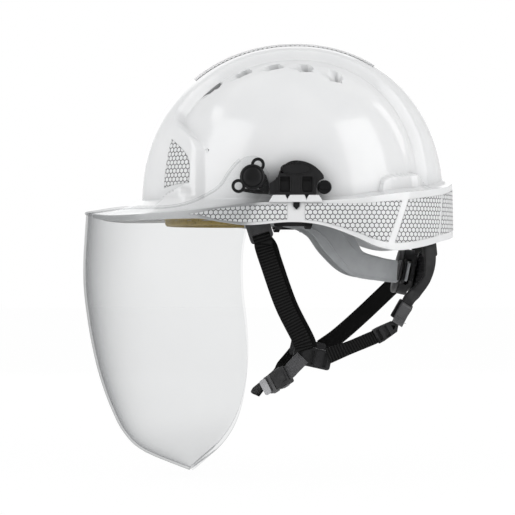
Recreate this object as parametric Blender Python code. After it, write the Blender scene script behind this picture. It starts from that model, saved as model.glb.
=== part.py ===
"""Industrial hard hat with a side-pivoting clear visor, ratchet headband and four-point chin strap.

Sizes are in millimetres and become metres when a mesh is made. The wearer faces -Y, +X is the
wearer's left and +Z is up. The origin is the middle of the rim plane, where the head goes in.
"""

import math

import bmesh
import bpy
from mathutils import Vector

MM = 0.001

# Dome: a rounded ellipsoid under a taller crest that runs from front to rear.
DOME_BASE_Z = 12
SQUARENESS = 2.1
HALF_WIDTH = 103
CREST = {"front": 135, "rear": 127.5, "height": 136}
SIDE = {"front": 127, "rear": 120, "height": 128}
RISER = 5
WALL = 2.6
CREST_STEPS = 20
CREST_ACROSS = 10
SIDE_STEPS = 6
PEAK_STEPS = 3
BAND_STEPS = 2
BAND_FLARE = 1
SEARCH_STEPS = 30

# Visor pivot, on the wearer's left; the right one is its mirror image.
PIVOT_Y = -37.6
PIVOT_Z = 28.6
PIVOT_HOLE = 5.2
SCREW_RADIUS = 4.4
KNOB_RADIUS = 10.2
VISOR_THICKNESS = 2

# Nape ratchet: its knob's axis passes here and leans down towards the rear.
NAPE_CENTRE = (0, 97, -50)
NAPE_LEAN = math.radians(12)

# Webbing
STRAP_WIDTH = 15
STRAP_THICKNESS = 1.4

LEFT = 1
RIGHT = -1
SIDES = (("left", LEFT), ("right", RIGHT))

# name: (red, green, blue, roughness, metallic)
FINISHES = {
    "shell_white": (0.86, 0.87, 0.87, 0.14, 0),
    "reflective_grey": (0.62, 0.64, 0.65, 0.35, 0),
    "fitting_black": (0.022, 0.022, 0.024, 0.42, 0),
    "clear_sheet": (0.9, 0.93, 0.94, 0.03, 0),
    "washer_white": (0.6, 0.6, 0.58, 0.5, 0),
    "harness_grey": (0.25, 0.26, 0.27, 0.5, 0),
    "sweatband_tan": (0.39, 0.3, 0.12, 0.9, 0),
    "pad_black": (0.03, 0.03, 0.032, 0.95, 0),
    "cradle_grey": (0.12, 0.12, 0.13, 0.85, 0),
    "webbing_black": (0.018, 0.018, 0.019, 0.8, 0),
    "buckle_grey": (0.06, 0.06, 0.064, 0.4, 0),
    "button_grey": (0.09, 0.09, 0.094, 0.45, 0),
}


# ---------------------------------------------------------------- helpers


def clear_scene():
    for obj in list(bpy.data.objects):
        bpy.data.objects.remove(obj, do_unlink=True)


def finish(name):
    """The named material, made the first time it is asked for."""
    if name in bpy.data.materials:
        return bpy.data.materials[name]
    red, green, blue, roughness, metallic = FINISHES[name]
    material = bpy.data.materials.new(name)
    material.use_nodes = True
    shader = material.node_tree.nodes["Principled BSDF"]
    shader.inputs["Base Color"].default_value = (red, green, blue, 1)
    shader.inputs["Roughness"].default_value = roughness
    shader.inputs["Metallic"].default_value = metallic
    if name == "clear_sheet":
        shader.inputs["Transmission Weight"].default_value = 0.95
    material.diffuse_color = (red, green, blue, 1)
    return material


def add_object(name, bm, material, origin=(0, 0, 0), smooth=False):
    """Turns a bmesh in millimetres into an object whose origin is the given point."""
    bmesh.ops.remove_doubles(bm, verts=bm.verts, dist=0.001)
    bmesh.ops.recalc_face_normals(bm, faces=bm.faces)
    bmesh.ops.translate(bm, vec=-Vector(origin), verts=bm.verts)
    bmesh.ops.scale(bm, vec=(MM, MM, MM), verts=bm.verts)
    mesh = bpy.data.meshes.new(name)
    bm.to_mesh(mesh)
    bm.free()
    mesh.materials.append(finish(material))
    if smooth:
        mesh.shade_smooth()
        mesh.set_sharp_from_angle(angle=math.radians(35))
    obj = bpy.data.objects.new(name, mesh)
    obj.location = Vector(origin) * MM
    bpy.context.scene.collection.objects.link(obj)
    return obj


def spline(rows):
    """A smooth function through rows of (position, value), level at both ends."""
    places = [row[0] for row in rows]
    values = [row[1] for row in rows]
    slopes = [0.0]
    for i in range(1, len(rows) - 1):
        slopes.append((values[i + 1] - values[i - 1]) / (places[i + 1] - places[i - 1]))
    slopes.append(0.0)

    def value(place):
        place = min(max(place, places[0]), places[-1])
        i = 0
        while i < len(places) - 2 and place > places[i + 1]:
            i += 1
        span = places[i + 1] - places[i]
        f = (place - places[i]) / span
        rise = f * f * (3 - 2 * f)
        leave = f * (1 - f) ** 2 * slopes[i] * span
        arrive = f * f * (f - 1) * slopes[i + 1] * span
        return values[i] * (1 - rise) + values[i + 1] * rise + leave + arrive

    return value


def smooth_path(points, steps):
    """Points on a smooth curve through the given ones, with some steps in each span."""
    points = [Vector(p) for p in points]
    padded = [2 * points[0] - points[1], *points, 2 * points[-1] - points[-2]]
    found = []
    for i in range(len(points) - 1):
        a, b, c, d = padded[i : i + 4]
        for k in range(steps):
            f = k / steps
            pull = 2 * b + (c - a) * f + (2 * a - 5 * b + 4 * c - d) * f**2
            found.append(0.5 * (pull + (3 * b - a - 3 * c + d) * f**3))
    found.append(points[-1])
    return found


class Axes:
    """A place with three directions at right angles: along, across and out."""

    def __init__(self, origin, along, out):
        self.origin = Vector(origin)
        self.along = Vector(along).normalized()
        self.across = Vector(out).cross(self.along).normalized()
        self.out = self.along.cross(self.across).normalized()

    def at(self, u, v, w):
        return self.origin + self.along * u + self.across * v + self.out * w


def side_axes(sign):
    """Axes for flat pieces on one side: u is Y, v is Z and w is the distance from the middle."""
    axes = Axes((0, 0, 0), (0, 1, 0), (sign, 0, 0))
    axes.across = Vector((0, 0, 1))
    axes.out = Vector((sign, 0, 0))
    return axes


def arc(centre, radius, start, end, steps):
    """Points along an arc, with angles in degrees from the first axis."""
    found = []
    for i in range(steps + 1):
        angle = math.radians(start + (end - start) * i / steps)
        found.append((centre[0] + radius * math.cos(angle), centre[1] + radius * math.sin(angle)))
    return found


def circle(centre, radius, steps):
    return arc(centre, radius, 0, 360, steps)[:-1]


def rectangle(u0, v0, u1, v1):
    return [(u0, v0), (u1, v0), (u1, v1), (u0, v1)]


def plate_mesh(axes, outline, depth, holes=()):
    """A flat outline with holes, thickened between two depths along the axes' third direction."""
    bm = bmesh.new()
    edges = []
    for loop in (outline, *holes):
        ring = [bm.verts.new(axes.at(u, v, depth[0])) for u, v in loop]
        for i, vert in enumerate(ring):
            edges.append(bm.edges.new((vert, ring[(i + 1) % len(ring)])))
    bmesh.ops.triangle_fill(bm, edges=edges, use_beauty=True)
    grown = bmesh.ops.extrude_face_region(bm, geom=bm.faces[:])
    raised = [item for item in grown["geom"] if isinstance(item, bmesh.types.BMVert)]
    bmesh.ops.translate(bm, vec=axes.out * (depth[1] - depth[0]), verts=raised)
    return bm


def plate(name, axes, outline, depth, material, holes=(), origin=(0, 0, 0)):
    return add_object(name, plate_mesh(axes, outline, depth, holes), material, origin)


def joined(name, axes, layers, material, origin=(0, 0, 0)):
    """One solid from overlapping plates, each (outline, depth) or (outline, depth, holes)."""
    obj = plate(name, axes, *layers[0][:2], material, *layers[0][2:3], origin=origin)
    for i, layer in enumerate(layers[1:]):
        helper = plate(f"{name}_layer{i}", axes, *layer[:2], material, *layer[2:3], origin=origin)
        hide_helper(helper)
        union = obj.modifiers.new(f"layer{i}", "BOOLEAN")
        union.operation = "UNION"
        union.object = helper
    return obj


def hide_helper(obj):
    obj.hide_render = True
    obj.display_type = "WIRE"


def strap_mesh(path, outs, width, thickness):
    """A flat strap along a path; outs are the directions its face looks in, width may vary."""
    bm = bmesh.new()
    last = len(path) - 1
    widths = width if isinstance(width, list) else [width] * len(path)
    rings = []
    for i, point in enumerate(path):
        along = (path[min(i + 1, last)] - path[max(i - 1, 0)]).normalized()
        out = Vector(outs[i])
        across = out.cross(along).normalized() * widths[i] / 2
        lift = along.cross(across).normalized() * thickness / 2
        corners = (point + across + lift, point - across + lift, point - across - lift, point + across - lift)
        rings.append([bm.verts.new(corner) for corner in corners])
    for a, b in zip(rings, rings[1:]):
        for k in range(4):
            bm.faces.new((a[k], a[(k + 1) % 4], b[(k + 1) % 4], b[k]))
    bm.faces.new(rings[0])
    bm.faces.new(rings[-1][::-1])
    return bm


def strap(name, points, outs, material, width=STRAP_WIDTH, thickness=STRAP_THICKNESS, steps=4):
    """A strap through a few points; outs are given at the same points and turned smoothly between."""
    path = smooth_path(points, steps)
    faces = smooth_path(outs, steps)
    widths = width
    if isinstance(width, list):
        widths = [p.x for p in smooth_path([(w, 0, 0) for w in width], steps)]
    return add_object(name, strap_mesh(path, faces, widths, thickness), material)


def mirrored(points, sign):
    return [(sign * x, y, z) for x, y, z in points]


def solid_sheet(name, verts, faces, thickness, material, origin=(0, 0, 0)):
    """Thickens an open surface inwards and closes its edges."""
    bm = bmesh.new()
    made = [bm.verts.new(v) for v in verts]
    for face in faces:
        bm.faces.new([made[index] for index in face])
    bmesh.ops.remove_doubles(bm, verts=bm.verts, dist=0.01)
    bmesh.ops.recalc_face_normals(bm, faces=bm.faces)
    outward = sum((f.normal.dot(f.calc_center_median()) for f in bm.faces))
    if outward < 0:
        bmesh.ops.reverse_faces(bm, faces=bm.faces)
    bm.normal_update()
    pairs = {v: bm.verts.new(v.co - v.normal * thickness) for v in bm.verts[:]}
    edges = [e for e in bm.edges if len(e.link_faces) == 1]
    for face in bm.faces[:]:
        bm.faces.new([pairs[v] for v in reversed(face.verts)])
    for edge in edges:
        a, b = edge.verts
        bm.faces.new((a, b, pairs[b], pairs[a]))
    return add_object(name, bm, material, origin, smooth=True)


# ---------------------------------------------------------------- shell

# Rows below are (angle round the rim from the front in degrees, value).
rim_radius = spline(
    [(0, 176.5), (11.6, 174), (21, 166), (34, 148), (42, 137), (50, 128.5), (60, 120.1), (69.6, 114.7)]
    + [(90, 110), (107.8, 114.5), (125.8, 123.2), (141.2, 130.9), (158.2, 134.6), (180, 135)]
)
rim_top = spline([(0, 1.5), (21.9, -1.5), (50, 2.7), (69, 7.5), (112, 11), (126, 15), (155, 21.6), (180, 28)])
rim_bottom = spline(
    [(0, -2), (21.9, -5.5), (50, -4.6), (59, -8), (68.6, -10.4), (85.8, -8), (95.7, -9)]
    + [(104.3, -13), (114.6, -21), (122.3, -28), (130.5, -31), (141.8, -28), (155.3, -23), (180, -19)]
)
dome_foot = spline(
    [(0, 12), (50, 12), (69, 12.3), (90, 12.8), (112, 14), (126, 18), (155, 24.5), (180, 30.5)]
)
# Half the crest's width, by angle from the front over the top; the brow panel is its wide front.
crest_half = spline(
    [(0, 76), (14, 75), (24, 66), (31, 51), (38, 46), (60, 45), (110, 45), (145, 49), (172, 52)]
)


def power(value):
    return abs(value) ** SQUARENESS


def dome_point(theta, x, dome):
    """The point of a dome at a lateral place x, in the half plane at theta degrees from the front."""
    angle = math.radians(theta)
    length = dome["front"] if theta < 90 else dome["rear"]
    share = power(math.cos(angle) / length) + power(math.sin(angle) / dome["height"])
    reach = ((1 - power(x / HALF_WIDTH)) / share) ** (1 / SQUARENESS)
    return Vector((x, -reach * math.cos(angle), DOME_BASE_Z + reach * math.sin(angle)))


def dome_hit(direction, dome):
    """Where a ray from the dome's centre meets it."""
    length = dome["front"] if direction.y < 0 else dome["rear"]
    share = power(direction.x / HALF_WIDTH) + power(direction.y / length)
    share += power(direction.z / dome["height"])
    return Vector((0, 0, DOME_BASE_Z)) + direction * share ** (-1 / SQUARENESS)


def rim_angle(point):
    return math.degrees(math.atan2(abs(point.x), -point.y))


def crest_x(theta, across):
    """Lateral place: across runs 0 to 1 over the crest, then on to 2 over the riser beside it."""
    if across <= 1:
        return across * crest_half(theta)
    return crest_half(theta) + (across - 1) * RISER


def crest_surface(theta, across):
    """A point of the crest, or of the riser that steps down to the side dome."""
    x = crest_x(theta, across)
    if across <= 1:
        return dome_point(theta, x, CREST)
    edge = dome_point(theta, crest_x(theta, 1), CREST)
    foot = dome_point(theta, crest_x(theta, 2), SIDE)
    return edge.lerp(foot, across - 1)


def crest_end(across):
    """The angle where this line of the crest runs into the ledge at the rear."""
    low, high = 90.0, 180.0
    for _ in range(SEARCH_STEPS):
        middle = (low + high) / 2
        point = crest_surface(middle, across)
        if point.z > dome_foot(rim_angle(point)):
            low = middle
        else:
            high = middle
    return low


def crest_point(along, across):
    """A point of the crest, with along from 0 at the brow to 1 at the rear ledge."""
    return crest_surface(along * crest_end(across), across)


def side_foot(along):
    """Where the side dome meets the ledge."""
    start = rim_angle(crest_point(0, 2))
    end = rim_angle(crest_point(1, 2))
    angle = math.radians(start + (end - start) * along)
    height = dome_foot(math.degrees(angle)) - DOME_BASE_Z
    low, high = 0.0, 0.6
    for _ in range(SEARCH_STEPS):
        lift = (low + high) / 2
        flat = math.cos(lift)
        point = dome_hit(Vector((math.sin(angle) * flat, -math.cos(angle) * flat, math.sin(lift))), SIDE)
        if point.z - DOME_BASE_Z < height:
            low = lift
        else:
            high = lift
    return point


def side_point(along, down):
    """A point of the side dome, with down from 0 at the riser's foot to 1 at the ledge."""
    centre = Vector((0, 0, DOME_BASE_Z))
    top = crest_point(along, 2) - centre
    foot = side_foot(along) - centre
    turn = top.angle(foot, 0)
    if turn < 1e-4:
        return centre + top
    a = math.sin((1 - down) * turn) / math.sin(turn)
    b = math.sin(down * turn) / math.sin(turn)
    direction = (top.normalized() * a + foot.normalized() * b).normalized()
    return dome_hit(direction, SIDE)


def rim_point(angle, side, height, proud=0.0):
    """A point of the band's outer face; height runs from 0 at its lower edge to 1 at its top."""
    turn = math.radians(angle)
    reach = rim_radius(angle) + BAND_FLARE * (1 - height) + proud
    low, high = rim_bottom(angle), rim_top(angle)
    return Vector((side * reach * math.sin(turn), -reach * math.cos(turn), low + (high - low) * height))


def rim_columns():
    """The dome's foot as one closed loop of (foot point, angle, side)."""
    half = [crest_point(0, 2 * k / CREST_ACROSS) for k in range(CREST_ACROSS // 2 + 1)]
    half += [side_foot(i / CREST_STEPS) for i in range(CREST_STEPS + 1)]
    half += [crest_point(1, 1 - 2 * k / CREST_ACROSS) for k in range(CREST_ACROSS // 2 + 1)]
    loop = [(p, rim_angle(p), LEFT) for p in half]
    for p in reversed(half[1:-1]):
        loop.append((Vector((-p.x, p.y, p.z)), rim_angle(p), RIGHT))
    return loop


def add_grid(verts, faces, rows, closed=False, flip=False):
    """Adds a grid of points to the lists; closed joins each row's last point to its first."""
    start = len(verts)
    wide = len(rows[0])
    for row in rows:
        verts.extend(row)
    for i in range(len(rows) - 1):
        for k in range(wide if closed else wide - 1):
            after = (k + 1) % wide
            a = start + i * wide
            b = a + wide
            one, two, three, four = a + k, a + after, b + after, b + k
            if (verts[one] - verts[three]).length <= (verts[two] - verts[four]).length:
                pieces = [(one, two, three), (one, three, four)]
            else:
                pieces = [(one, two, four), (two, three, four)]
            faces.extend(piece[::-1] if flip else piece for piece in pieces)


def crest_rows():
    acrosses = [-2] + [2 * k / CREST_ACROSS - 1 for k in range(CREST_ACROSS + 1)] + [2]
    rows = []
    for i in range(CREST_STEPS + 1):
        row = []
        for across in acrosses:
            p = crest_point(i / CREST_STEPS, abs(across))
            row.append(Vector((math.copysign(p.x, across), p.y, p.z)))
        rows.append(row)
    return rows


def shell_surface():
    verts, faces = [], []
    add_grid(verts, faces, crest_rows())
    for sign in (LEFT, RIGHT):
        rows = []
        for k in range(SIDE_STEPS + 1):
            row = [side_point(i / CREST_STEPS, k / SIDE_STEPS) for i in range(CREST_STEPS + 1)]
            rows.append([Vector((sign * p.x, p.y, p.z)) for p in row])
        add_grid(verts, faces, rows, flip=sign == LEFT)
    loop = rim_columns()
    rows = []
    for k in range(PEAK_STEPS):
        share = k / PEAK_STEPS
        rows.append([p.lerp(rim_point(angle, side, 1), share) for p, angle, side in loop])
    for k in range(BAND_STEPS + 1):
        rows.append([rim_point(angle, side, 1 - k / BAND_STEPS) for _, angle, side in loop])
    add_grid(verts, faces, rows, closed=True)
    return verts, faces


def make_shell():
    verts, faces = shell_surface()
    solid_sheet("shell", verts, faces, WALL, "shell_white")


# ---------------------------------------------------------------- stickers

STICKER_GAP = 0.35
STICKER_THICKNESS = 0.3
STICKER_MARGIN = 0.12


def lifted(corners, lift):
    """Shifts a grid of points off its surface by a distance."""
    rows = []
    for i, row in enumerate(corners):
        above = corners[max(i - 1, 0)]
        below = corners[min(i + 1, len(corners) - 1)]
        new = []
        for k, point in enumerate(row):
            across = row[min(k + 1, len(row) - 1)] - row[max(k - 1, 0)]
            normal = (below[k] - above[k]).cross(across).normalized()
            if normal.dot(Vector((point.x, point.y, point.z - DOME_BASE_Z))) < 0:
                normal.negate()
            new.append(point + normal * lift)
        rows.append(new)
    return rows


def sticker(name, rows, closed=False):
    """A thin sheet that follows a grid of points on the shell's surface."""
    verts, faces = [], []
    add_grid(verts, faces, lifted(rows, STICKER_GAP + STICKER_THICKNESS), closed=closed)
    solid_sheet(name, verts, faces, STICKER_THICKNESS, "reflective_grey")


def make_stickers():
    crown_rows = crest_rows()[6:15]
    sticker("crown_sticker", [row[2:-2] for row in crown_rows])
    loop = rim_columns()
    left = [(angle, side) for _, angle, side in loop if side == LEFT]
    for label, sign in SIDES:
        brow = [[crest_point(i / CREST_STEPS, across) for across in (0.8, 1)] for i in (1, 2, 3)]
        sticker(f"brow_sticker_{label}", [[Vector((sign * p.x, p.y, p.z)) for p in row] for row in brow])
        columns = [angle for angle, _ in left if 50 < angle < 138]
        rows = []
        for height in (1 - STICKER_MARGIN, 0.5, STICKER_MARGIN):
            rows.append([rim_point(angle, sign, height) for angle in columns])
        sticker(f"side_sticker_{label}", rows)
    back = [angle for angle, _ in left if angle > 142]
    columns = [(angle, LEFT) for angle in back] + [(angle, RIGHT) for angle in reversed(back[:-1])]
    rows = []
    for height in (1 - STICKER_MARGIN, 0.5, STICKER_MARGIN):
        rows.append([rim_point(angle, side, height) for angle, side in columns])
    sticker("rear_sticker", rows)


# ---------------------------------------------------------------- side fittings

ADAPTER_INNER = 103.8
ADAPTER_OUTER = 112.6
BADGE_OUTER = 113.4
CARRIER_DEPTH = (103.8, 108.4)
WASHER_DEPTH = (108.8, 109.4)
KNOB_DEPTH = (114, 119)


def make_side_adapter(label, sign):
    axes = side_axes(sign)
    body = [(-24, 14.6), (14.8, 14.6), (14.8, 25), (12.6, 27), (12.6, 31)]
    body += arc((-1.5, 27), 15.5, 20, 160, 10)
    body += [(-17, 31), (-17, 28), (-20, 26.5), (-24, 24)]
    windows = [rectangle(-15.6, 17, -6.8, 28), rectangle(1.6, 17, 10.4, 28)]
    badge = [(-1.8 + 12.2 * math.cos(a), 35.4 + 4.6 * math.sin(a)) for a in
             (math.radians(15 * i) for i in range(24))]
    layers = [
        (body, (ADAPTER_INNER, ADAPTER_OUTER), windows),
        (badge, (ADAPTER_OUTER - 2, BADGE_OUTER)),
    ]
    joined(f"side_adapter_{label}", axes, layers, "fitting_black")


def make_slot_clip(label, sign):
    """The tongue of the adapter under the rim, with two hooks that grip the rim's edge."""
    axes = side_axes(sign)
    layers = [
        (rectangle(-20, -11.4, 11.5, -1), (102.4, 105.4)),
        (rectangle(-18.4, -13.8, -13.6, -11), (102.4, 109)),
        (rectangle(5.3, -13.8, 10.1, -10.9), (102.4, 109)),
    ]
    joined(f"slot_clip_{label}", axes, layers, "fitting_black")


def make_switch(label, sign):
    """The round release switch, which turns a quarter of a turn to free the adapter."""
    centre = (21.4, 20.6)
    bar = [(centre[0] - 4.6, centre[1] - 1.2), (centre[0] + 4.6, centre[1] - 1.2)]
    bar += [(centre[0] + 4.6, centre[1] + 1.2), (centre[0] - 4.6, centre[1] + 1.2)]
    layers = [(circle(centre, 5.7, 24), (104.4, 111.5)), (bar, (111, 113.6))]
    origin = (sign * 108, centre[0], centre[1])
    joined(f"release_switch_{label}", side_axes(sign), layers, "fitting_black", origin)


def make_pivot(label, sign):
    axes = side_axes(sign)
    pivot = (PIVOT_Y, PIVOT_Z)
    arm = arc(pivot, 9, 40, 300, 16) + [(-29, 15.2), (-24.4, 15.2), (-24.4, 23.8), (-26, 30)]
    plate(f"visor_carrier_{label}", axes, arm, CARRIER_DEPTH, "fitting_black", [circle(pivot, 4.9, 16)])
    plate(f"friction_washer_{label}", axes, circle(pivot, 8, 24), WASHER_DEPTH, "washer_white",
          [circle(pivot, PIVOT_HOLE, 16)])
    origin = (sign * KNOB_DEPTH[0], PIVOT_Y, PIVOT_Z)
    knob = []
    for start, end in ((75, 195), (255, 375)):
        knob += arc(pivot, KNOB_RADIUS, start, end, 12)
        middle = math.radians(end + 30)
        place = (pivot[0] + 12.5 * math.cos(middle), pivot[1] + 12.5 * math.sin(middle))
        knob += arc(place, 5.2, end - 45, end + 105, 8)
    loops = []
    for angle in (45, 225):
        turn = math.radians(angle)
        place = (pivot[0] + 12.9 * math.cos(turn), pivot[1] + 12.9 * math.sin(turn))
        loops.append(circle(place, 2.6, 12))
    layers = [
        (knob, KNOB_DEPTH, loops),
        (circle(pivot, SCREW_RADIUS, 16), (CARRIER_DEPTH[0] + 0.2, KNOB_DEPTH[0] + 1)),
        (circle(pivot, 7, 20), (KNOB_DEPTH[1] - 1, KNOB_DEPTH[1] + 1.4)),
    ]
    joined(f"pivot_knob_{label}", axes, layers, "fitting_black", origin)


# ---------------------------------------------------------------- visor

# Rows run down the sheet from its top edge (0) to its chin tip (1).
visor_front_y = spline(
    [(0, -182), (0.12, -183.5), (0.22, -184.5), (0.32, -184), (0.45, -181), (0.56, -176.5)]
    + [(0.68, -170), (0.78, -161), (0.88, -149), (0.95, -131), (1, -93)]
)
visor_front_z = spline(
    [(0, 1), (0.12, -22), (0.22, -43), (0.32, -64), (0.45, -90), (0.56, -116)]
    + [(0.68, -142), (0.78, -167), (0.88, -190), (0.95, -206), (1, -221.5)]
)
visor_edge_x = spline(
    [(0, 113), (0.22, 113), (0.32, 112), (0.45, 107), (0.56, 98.5), (0.68, 86)]
    + [(0.78, 71), (0.88, 52), (0.95, 31), (1, 9)]
)
visor_edge_y = spline(
    [(0, -24), (0.05, -25.5), (0.12, -35), (0.22, -43.5), (0.32, -47), (0.45, -46.5), (0.56, -43.5)]
    + [(0.68, -42), (0.78, -44), (0.88, -52), (0.95, -67.5), (1, -91)]
)
visor_edge_z = spline(
    [(0, 32), (0.05, 22), (0.12, 6.5), (0.22, -14), (0.32, -37), (0.45, -67), (0.56, -93)]
    + [(0.68, -121), (0.78, -147), (0.88, -177), (0.95, -200.5), (1, -219.5)]
)
# The top edge's height along its length, with the round ear over the pivot.
visor_top_z = spline(
    [(-182, 1), (-144, 4.3), (-107, 4.8), (-90, 8), (-76, 14), (-64, 22), (-56, 34), (-48, 42.5)]
    + [(-38, 46), (-30, 43), (-24, 32)]
)
VISOR_ROUNDING = 0.85
EAR_FADE = 0.2


def visor_point(turn, down, side):
    """A point of the visor's outer face; turn runs from 0 at the front to 90 at the rear edge."""
    angle = math.radians(turn)
    back = 1 - math.cos(angle)
    front, edge = visor_front_y(down), visor_edge_y(down)
    y = front + (edge - front) * back
    x = visor_edge_x(down) * math.sin(angle) ** VISOR_ROUNDING
    z = visor_front_z(down) + (visor_edge_z(down) - visor_front_z(down)) * back
    top_front, top_edge = visor_front_y(0), visor_edge_y(0)
    top_plain = visor_front_z(0) + (visor_edge_z(0) - visor_front_z(0)) * back
    ear = visor_top_z(top_front + (top_edge - top_front) * back) - top_plain
    return Vector((side * x, y, z + ear * max(0.0, 1 - down / EAR_FADE)))


def make_visor():
    turns = [0, 12, 24, 36, 47, 56, 64, 70, 75, 79, 83, 86.5, 90]
    downs = [0, 0.04, 0.09, 0.15, 0.22, 0.32, 0.42, 0.52, 0.62, 0.72, 0.8, 0.88, 0.93, 0.97, 1]
    columns = [(turn, RIGHT) for turn in reversed(turns[1:])] + [(turn, LEFT) for turn in turns]
    verts, faces = [], []
    add_grid(verts, faces, [[visor_point(turn, down, side) for turn, side in columns] for down in downs])
    obj = solid_sheet("visor", verts, faces, VISOR_THICKNESS, "clear_sheet", (0, PIVOT_Y, PIVOT_Z))
    for label, sign in SIDES:
        cutter = plate(f"pivot_cutter_{label}", side_axes(sign), circle((PIVOT_Y, PIVOT_Z), PIVOT_HOLE, 16),
                       (100, 125), "clear_sheet")
        hide_helper(cutter)
        cut = obj.modifiers.new(f"pivot_{label}", "BOOLEAN")
        cut.operation = "DIFFERENCE"
        cut.object = cutter


# ---------------------------------------------------------------- headband and ratchet

# Left half of the headband's middle line from the front, its outward direction and its height there.
HEADBAND_LINE = [
    ((0, -112, 6), (0, -1, 0), 28),
    ((42, -105, 6), (0.35, -0.94, 0), 28),
    ((70, -82, 6), (0.75, -0.66, 0), 28),
    ((83, -46, 6), (0.97, -0.25, 0), 28),
    ((87, -4, 4), (1, 0, 0), 28),
    ((86.5, 20, -6), (1, 0.05, 0), 29),
    ((84.5, 34, -25), (0.97, 0.2, 0), 28),
    ((80, 48, -41), (0.92, 0.38, 0), 23),
    ((67, 68, -46.5), (0.72, 0.69, 0), 20),
    ((50, 84, -49), (0.6, 0.8, 0), 19),
]
HEADBAND_THICKNESS = 1.8
RACK_REACH = 52
TOOTH_PITCH = 2.5
RACK_TOOTH = 1.35
PINION_TEETH = 10
# Depths along the knob's axis, from the pad behind the head out to the knob.
PAD_DEPTH = (-11.4, -6.8)
HOUSING_DEPTH = (-6.4, -4.4)
RACK_LEFT_DEPTH = (-4, -2.6)
RACK_RIGHT_DEPTH = (-2.2, -0.8)
PINION_DEPTH = (-4.2, -0.4)
SHAFT_DEPTH = (-1, 5.6)
COVER_DEPTH = (0, 2.2)
RATCHET_KNOB_DEPTH = (6, 14.5)
RATCHET_CAP_DEPTH = (13, 17.4)
RATCHET_KNOB_RADIUS = 20


def full_line(half):
    """The whole line from its left half, running from the right end round the front to the left end."""
    right = [((-p[0], p[1], p[2]), (-n[0], n[1], n[2]), h) for p, n, h in reversed(half[1:])]
    return right + list(half)


def make_headband():
    line = full_line(HEADBAND_LINE)
    points, outs, heights = zip(*line)
    strap("headband", points, outs, "harness_grey", list(heights), HEADBAND_THICKNESS, steps=2)
    front = full_line(HEADBAND_LINE[:4])
    inner = [tuple(Vector(p) - Vector(n).normalized() * 3.6 + Vector((0, 0, -2.2))) for p, n, _ in front]
    outs = [n for _, n, _ in front]
    strap("sweatband", inner, outs, "sweatband_tan", 33, 3.6, steps=2)


def nape_axes():
    """Along is the wearer's left, across is up the leaning housing and out is the knob's axis."""
    axes = Axes(NAPE_CENTRE, (1, 0, 0), (0, 1, 0))
    axes.across = Vector((0, math.sin(NAPE_LEAN), math.cos(NAPE_LEAN)))
    axes.out = Vector((0, math.cos(NAPE_LEAN), -math.sin(NAPE_LEAN)))
    return axes


def toothed_slot(half_length, half_height, teeth_up):
    """A slot's outline with teeth along its upper or lower edge, a gap between two teeth at its middle."""
    count = int(half_length / TOOTH_PITCH)
    edge = [(-half_length, half_height)]
    for i in range(-count, count):
        middle = (i + 0.5) * TOOTH_PITCH
        for step, height in ((-0.5, 0), (-0.2, RACK_TOOTH), (0.2, RACK_TOOTH), (0.5, 0)):
            edge.append((middle + step, half_height - height))
    edge.append((half_length, half_height))
    outline = edge + [(half_length, -half_height), (-half_length, -half_height)]
    if teeth_up:
        return outline
    return [(x, -y) for x, y in outline]


def gear_outline():
    """The pinion's teeth, with one straight up and one straight down."""
    outline = []
    for i in range(PINION_TEETH):
        middle = 90 + 360 * i / PINION_TEETH
        for turn, radius in ((-12, 3.2), (-3.6, 4.5), (3.6, 4.5), (12, 3.2)):
            outline.append(arc((0, 0), radius, middle + turn, 0, 1)[0])
    return outline


def make_ratchet():
    axes = nape_axes()
    body = [(-34, -10.5), (34, -10.5), (38, -7), (38, 7), (34, 10.5)]
    body += arc((0, 0), 17, 40, 140, 8) + [(-34, 10.5), (-38, 7), (-38, -7)]
    plate("ratchet_housing", axes, body, HOUSING_DEPTH, "fitting_black")
    plate("nape_pad", axes, [(-36, -9), (36, -9), (36, 9), (-36, 9)], PAD_DEPTH, "pad_black")
    racks = (("left", LEFT, RACK_LEFT_DEPTH, True), ("right", RIGHT, RACK_RIGHT_DEPTH, False))
    for label, sign, depth, teeth_up in racks:
        ends = (-18 * sign, RACK_REACH * sign)
        left, right = min(ends), max(ends)
        outline = rectangle(left, -8, right, 8)
        slot = toothed_slot(14, 4.8, teeth_up)
        plate(f"rack_{label}", axes, outline, depth, "harness_grey", [slot])
    origin = NAPE_CENTRE
    layers = [(gear_outline(), PINION_DEPTH), (circle((0, 0), 2.4, 16), SHAFT_DEPTH)]
    joined("ratchet_pinion", axes, layers, "fitting_black", origin)
    plate("ratchet_cover", axes, body, COVER_DEPTH, "fitting_black", [circle((0, 0), 3.2, 16)])
    rim = []
    for i in range(24):
        rim.append(arc((0, 0), RATCHET_KNOB_RADIUS, 15 * i, 0, 1)[0])
        rim.append(arc((0, 0), RATCHET_KNOB_RADIUS - 1.2, 15 * i + 7.5, 0, 1)[0])
    layers = [(rim, RATCHET_KNOB_DEPTH), (circle((0, 0), 14, 24), RATCHET_CAP_DEPTH)]
    joined("ratchet_knob", axes, layers, "fitting_black", origin)


# ---------------------------------------------------------------- crown cradle

# Each strap's name, azimuth in degrees, reach from the middle and drop below the topmost strap.
CRADLE = (
    ("cradle_strap_long", 0, 98, 0),
    ("cradle_strap_left", 58, 86, -3.2),
    ("cradle_strap_right", -58, 86, -6.4),
)
CRADLE_TOP = 116
CRADLE_FOOT = 26
HANGER_DEPTH = 9


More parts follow.
